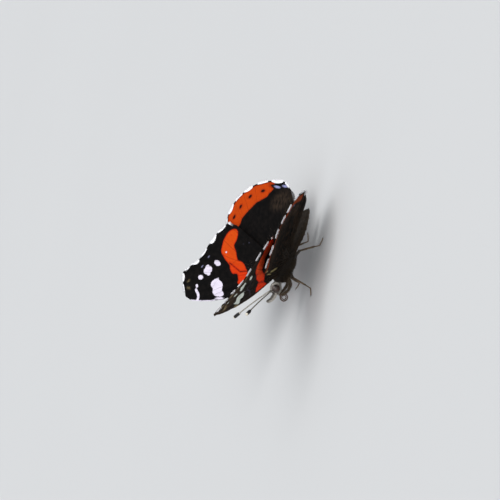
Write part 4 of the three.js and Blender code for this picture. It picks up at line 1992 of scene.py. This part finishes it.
@dataclass
class Tongue:
    """The coiled tongue under the face."""

    centre: Pair = (-8.1, -2.35)
    mouth: Triple = (0, -7.35, -0.85)
    first_turn: float = 64.0
    turns: float = 1.9
    reach: float = 0.95
    wound: float = 0.62
    base: float = 0.17
    tip: float = 0.09
    coil_points: int = 150
    lead_points: int = 24
    segments: int = 14

    def dress(self, materials: Palette) -> None:
        """Wind the coil and hand it over.

        Args:
            materials: The finishes by name.
        """
        share = np.linspace(0, 1, self.coil_points)
        turn = np.radians(self.first_turn + share * self.turns * 360)
        reach = self.reach - share * self.wound
        y = self.centre[0] + np.cos(turn) * reach * 1.05
        z = self.centre[1] + np.sin(turn) * reach
        coil = np.stack([np.zeros(self.coil_points), y, z], axis=1)
        above = coil[0] + np.array([0, 0.18, 0.42])
        lead = stretch((self.mouth, tuple(above), tuple(coil[0])), self.lead_points)
        line = np.vstack([lead[:-1], coil])
        radii = np.linspace(self.base, self.tip, len(line))
        radii = radii * (1 - 0.06 * np.cos(np.arange(len(line)) * 1.9))
        obj = sweep("tongue_coil", STANCE.place(line), radii, self.segments)
        put_field(obj.data, "tone", 0.5 + 0.3 * np.sin(read_field(obj.data, "way") * 240))
        carry(obj, [materials["tongue"]], ["proboscis"])


@dataclass(frozen=True)
class HairRun:
    """The hair along one length of a leg."""

    line: Array
    radii: Array
    count: int
    tone: float


@dataclass
class Leg:
    """One leg: thigh, shin and a foot of five joints, with spines, hair and claws."""

    side: Side
    pair: LegPair
    hip: Triple
    stops: tuple[Triple, ...]
    thigh: float = 0.34
    shin: float = 0.21
    foot: float = 0.13
    limb_points: int = 34
    foot_points: int = 60
    hair_points: int = 30
    folded_hair: TuftStyle = TuftStyle(0.7, 0.05, 0.4, 24, 16, 0.3)
    standing_hair: TuftStyle = TuftStyle(0.34, 0.05, 0.3, 13, 12)

    @property
    def folded(self) -> bool:
        """Whether the leg is held folded at the breast, as the short fore legs are."""
        return self.pair is LegPair.FORE

    def world_stops(self) -> Array:
        """The hip, knee, ankle and foot stops in the world.

        Returns:
            One point a row.
        """
        hip = STANCE.place(np.array([self.hip]) * self.side.mirror)
        stops = np.array(self.stops) * self.side.mirror
        if self.folded:
            return np.vstack([hip, STANCE.place(stops)])
        return np.vstack([hip, stops + STANCE.origin() * np.array([1, 1, 0])])

    def limb(self, name: str, ends: Sequence[Array], radii: Sequence[float], bow: float = 0.0) -> Piece:
        """One straight or bowed length of the leg.

        Args:
            name: The length's name.
            ends: Where it starts and ends.
            radii: Its radius at even steps.
            bow: How far its middle is bowed up.

        Returns:
            The length.
        """
        share = np.linspace(0, 1, self.limb_points)
        line = ends[0] + np.outer(share, ends[1] - ends[0])
        line[:, 2] += np.sin(share * math.pi) * bow
        size = spline(np.linspace(0, 1, len(radii)), list(radii), share)
        return sweep(name, line, size, 16)

    def dress(self, materials: Palette) -> None:
        """Shape the leg and hand it over.

        Args:
            materials: The finishes by name.
        """
        word = f"{self.pair.value}_leg_{self.side.word}"
        parts, hairs = self.fold(word) if self.folded else self.stand()
        for part, tone in parts:
            way = read_field(part.data, "way")
            put_field(part.data, "tone", np.clip(tone + 0.25 * (way - 0.5), 0, 1))
        obj = join(word, [part for part, _ in parts])
        carry(obj, [materials["leg"]], [f"leg_{self.pair.value}_{self.side.word}"])
        carry(self.build_hair(word + "_hair", hairs), [materials["leg_hair"]])

    def fold(self, word: str) -> tuple[list, list]:
        """Shape a short fore leg, folded at the breast.

        Args:
            word: The leg's name.

        Returns:
            Its one part with its tone, and its hair.
        """
        line = stretch(self.world_stops(), self.foot_points)
        share = np.linspace(0, 1, self.foot_points)
        radii = spline([0, 0.35, 0.6, 0.85, 1], [0.26, 0.22, 0.17, 0.13, 0.06], share)
        return [(sweep(word, line, radii, 16), 0.35)], [HairRun(line, radii, 1500, 0.45)]

    def stand(self) -> tuple[list, list]:
        """Shape a walking leg with its claws and spines.

        Returns:
            Its parts with their tones, and its hair.
        """
        hip, knee, ankle, heel, toe = self.world_stops()
        thigh = self.limb("thigh", (hip, knee), (0.24, self.thigh, self.thigh * 0.85, 0.19))
        shin = self.limb("shin", (knee, ankle), (0.18, self.shin, self.shin * 0.95, 0.16), 0.04)
        line = stretch((ankle, heel, toe), self.foot_points)
        line[:, 2] = np.maximum(line[:, 2], self.foot + 0.02)
        share = np.linspace(0, 1, self.foot_points)
        swell = 0.82 + 0.22 * ((share * 5 % 1.0) ** 2)
        foot = sweep("foot", line, self.foot * swell * (1.2 - 0.3 * share), 14)
        parts = [(thigh, 0.15), (shin, 0.5), (foot, 0.6)]
        parts += [(claw, 0.0) for claw in self.claws(line[-1], unit(line[-1] - line[-4]))]
        parts += [(spur, 0.1) for spur in self.spurs(knee, ankle, line)]
        count = self.hair_points
        upper = hip + np.outer(np.linspace(0.1, 1, count), knee - hip)
        lower = knee + np.outer(np.linspace(0, 1, count), ankle - knee)
        hairs = [
            HairRun(upper, np.full(count, 0.29), 900, 0.2),
            HairRun(lower, np.full(count, 0.18), 600, 0.5),
        ]
        return parts, hairs

    def claws(self, toe: Array, ahead: Array) -> list[Piece]:
        """Two small curved claws at the toe.

        Args:
            toe: The foot's end.
            ahead: The way that it points.

        Returns:
            The claws.
        """
        made = []
        across = unit(np.cross(ahead, UPRIGHT))
        share = np.linspace(0, 1, 12)[:, None]
        for turn in (1, -1):
            line = toe + across * turn * (0.05 + 0.16 * share) + ahead * 0.34 * share
            line = line + UPRIGHT * (0.1 * np.sin(share * 2.6) - 0.1 * share)
            line[:, 2] = np.maximum(line[:, 2], 0.03)
            made.append(sweep("claw", line, np.linspace(0.05, 0.012, 12), 8))
        return made

    def spurs(self, knee: Array, ankle: Array, foot: Array) -> list[Piece]:
        """Short dark spines down the shin and under the foot.

        Args:
            knee: The shin's start.
            ankle: Its end.
            foot: The foot's line.

        Returns:
            The spines.
        """
        made = []
        down = unit(ankle - knee)
        across = unit(np.cross(down, UPRIGHT))
        steps = np.linspace(0.05, 0.42, 8)[:, None]
        for i, share in enumerate(np.linspace(0.2, 0.97, 8)):
            root = knee + (ankle - knee) * share
            aim = unit(down * 0.8 + across * (0.6 if i % 2 else -0.6))
            made.append(sweep("spur", root + aim * steps, np.linspace(0.035, 0.008, 8), 6))
        along = unit(foot[-1] - foot[20])
        beside = unit(np.cross(along, UPRIGHT))
        steps = np.linspace(0.03, 0.22, 7)[:, None]
        for i, place in enumerate(range(14, 58, 5)):
            aim = unit(along + beside * (0.7 if i % 2 else -0.7) - UPRIGHT * 0.12)
            line = foot[place] + aim * steps
            line[:, 2] = np.maximum(line[:, 2], 0.02)
            made.append(sweep("spur", line, np.linspace(0.028, 0.007, 7), 6))
        return made

    def build_hair(self, name: str, runs: Sequence[HairRun]) -> Piece:
        """Close-lying scales and hair along the leg.

        Args:
            name: The piece's name.
            runs: The hair of each length.

        Returns:
            The piece.
        """
        tufts = Tufts(name, 70 + len(name) + self.side.value)
        style = self.folded_hair if self.folded else self.standing_hair
        for run in runs:
            own = (run.line - STANCE.origin()) @ STANCE.turn()
            i = tufts.draw.integers(0, len(own) - 1, run.count)
            ahead = unit(own[i + 1] - own[i])
            turn = tufts.draw.uniform(-math.pi, math.pi, run.count)
            first = unit(np.cross(ahead, np.array([0.3, 0.2, 1.0])))
            up = first * np.cos(turn)[:, None] + np.cross(ahead, first) * np.sin(turn)[:, None]
            share = tufts.draw.uniform(0, 1, run.count)[:, None]
            root = own[i] + (own[i + 1] - own[i]) * share + up * (run.radii[i] - 0.04)[:, None]
            tone = np.clip(run.tone + tufts.draw.normal(0, 0.15, run.count), 0, 1)
            tufts.add(style, root, up, ahead, strip_uv(turn, i / len(own)), tone)
        return tufts.build()


LEG_STOPS = {
    LegPair.FORE: (
        (0.9, -3.4, -1.2), ((1.55, -4.9, -2.35), (1.75, -6.4, -2.2), (1.6, -7.6, -1.5)),
    ),
    LegPair.MID: (
        (0.9, -2.0, -1.2), ((3.6, -3.4, 4.1), (5.3, -4.4, 1.4), (5.9, -4.9, 0.2), (7.9, -6.3, 0.2)),
    ),
    LegPair.HIND: (
        (0.9, 0.2, -1.1), ((3.7, 2.7, 3.9), (5.4, 4.3, 1.3), (6.0, 4.9, 0.2), (7.9, 6.6, 0.2)),
    ),
}


@dataclass(frozen=True)
class PhotoCamera:
    """The camera: its own axes told in the body as (right, forward, up), and its distance.

    The body's origin shows at the picture place called middle, at scale picture steps a millimetre.
    """

    across: Triple = (-0.1888, -0.3231, -0.9274)
    upward: Triple = (0.0755, -0.9463, 0.3143)
    back: Triple = (-0.9791, -0.0107, 0.203)
    middle: Pair = (286.2, 259.9)
    distance: float = 510.0
    scale: float = 4.44
    picture: int = 500
    sensor: float = 36.0
    near_clip: float = 0.01
    far_clip: float = 50.0

    def build(self) -> None:
        """Place the camera and make it the scene's."""
        data = bpy.data.cameras.new("photo_camera")
        data.sensor_width = self.sensor
        data.lens = self.scale * self.distance / self.picture * self.sensor
        data.clip_start = self.near_clip
        data.clip_end = self.far_clip
        camera = bpy.data.objects.new("photo_camera", data)
        bpy.context.scene.collection.objects.link(camera)
        flip = np.array([-1, -1, 1])
        axes = np.array([self.across, self.upward, self.back])
        half = self.picture / 2
        aside = (half - self.middle[0]) / self.scale
        above = (self.middle[1] - half) / self.scale
        own = axes[0] * aside + axes[1] * above + axes[2] * self.distance
        where = STANCE.place(own * flip) * MM
        turned = STANCE.point(axes * flip)
        rows = [[float(turned[k][i]) for k in range(3)] + [float(where[i])] for i in range(3)]
        camera.matrix_world = Matrix(rows + [[0, 0, 0, 1]])
        bpy.context.scene.camera = camera


@dataclass(frozen=True)
class Studio:
    """The pale floor and the soft light round the model."""

    floor_radius: float = 9.0
    sky: Triple = (0.86, 0.9, 0.96)
    sky_strength: float = 0.62
    sun_strength: float = 1.8
    sun_width: float = 60.0
    sun_aim: Triple = (-0.4, -0.4, -0.82)
    fill_strength: float = 1.5
    fill_width: float = 70.0
    fill_aim: Triple = (-0.93, -0.1, -0.28)

    def build(self) -> None:
        """Lay the floor and hang the lights."""
        deselect()
        bpy.ops.mesh.primitive_circle_add(vertices=96, radius=self.floor_radius, fill_type="NGON")
        floor = named(bpy.context.object, "studio_floor")
        floor.data.materials.append(FloorFinish().material())
        world = bpy.data.worlds.new("studio_sky")
        world.use_nodes = True
        sky = world.node_tree.nodes["Background"]
        sky.inputs["Color"].default_value = (*self.sky, 1)
        sky.inputs["Strength"].default_value = self.sky_strength
        bpy.context.scene.world = world
        self.hang("soft_sun", self.sun_strength, self.sun_width, self.sun_aim)
        self.hang("soft_fill", self.fill_strength, self.fill_width, self.fill_aim)
        bpy.context.scene.view_settings.view_transform = "Standard"

    def hang(self, name: str, strength: float, width: float, aim: Triple) -> None:
        """Hang one broad light far away.

        Args:
            name: The light's name.
            strength: How strong it is.
            width: How broad it looks, in degrees.
            aim: The way that its light travels.
        """
        light = bpy.data.lights.new(name, "SUN")
        light.energy = strength
        light.angle = math.radians(width)
        sun = bpy.data.objects.new(name, light)
        bpy.context.scene.collection.objects.link(sun)
        back = unit(-np.array(aim))
        first = unit(np.cross(UPRIGHT, back))
        second = np.cross(back, first)
        rows = [[float(first[i]), float(second[i]), float(back[i]), 0.0] for i in range(3)]
        sun.matrix_world = Matrix(rows + [[0, 0, 0, 1]])


@dataclass
class RedAdmiral:
    """The whole butterfly."""

    materials: Palette = field(default_factory=dict)

    def mix_finishes(self) -> None:
        """Make each shared finish once."""
        finishes = {
            "fringe": FRINGE_SCALES, "wing_hair": WING_HAIR, "body_hair": BODY_HAIR,
            "head_hair": HEAD_HAIR, "skin": BODY_SKIN, "eye": EYE_GLOSS, "feeler": FEELER_FINISH,
            "leg": LEG_FINISH, "tongue": TONGUE_FINISH, "leg_hair": LEG_HAIR,
        }
        self.materials = {name: finish.material() for name, finish in finishes.items()}

    def build(self) -> None:
        """Build the butterfly part by part."""
        self.mix_finishes()
        for seed, (node, hold) in enumerate(HOLDS.items()):
            fore = node.startswith("fore")
            plan = FORE_PLAN if fore else HIND_PLAN
            pattern = ForePattern() if fore else HindPattern()
            upper = UPPER_FORE_SCALES if fore else UPPER_HIND_SCALES
            under = UNDER_FORE_SCALES if fore else UNDER_HIND_SCALES
            Wing(node, hold, plan, pattern, upper, under, seed + 1).dress(self.materials)
        Body().dress(self.materials)
        for side in Side:
            Eye(side).dress(self.materials)
            Palp(side).dress(self.materials)
        Feeler(Side.LEFT, 54, 27).dress(self.materials)
        Feeler(Side.RIGHT, 42, 20).dress(self.materials)
        Tongue().dress(self.materials)
        for side in Side:
            for pair, (hip, stops) in LEG_STOPS.items():
                Leg(side, pair, hip, stops).dress(self.materials)


def main() -> None:
    """Build the studio and the butterfly."""
    logging.basicConfig(level=logging.INFO, format="%(message)s", stream=sys.stdout)
    Studio().build()
    PhotoCamera().build()
    RedAdmiral().build()


if __name__ == "__main__":
    main()
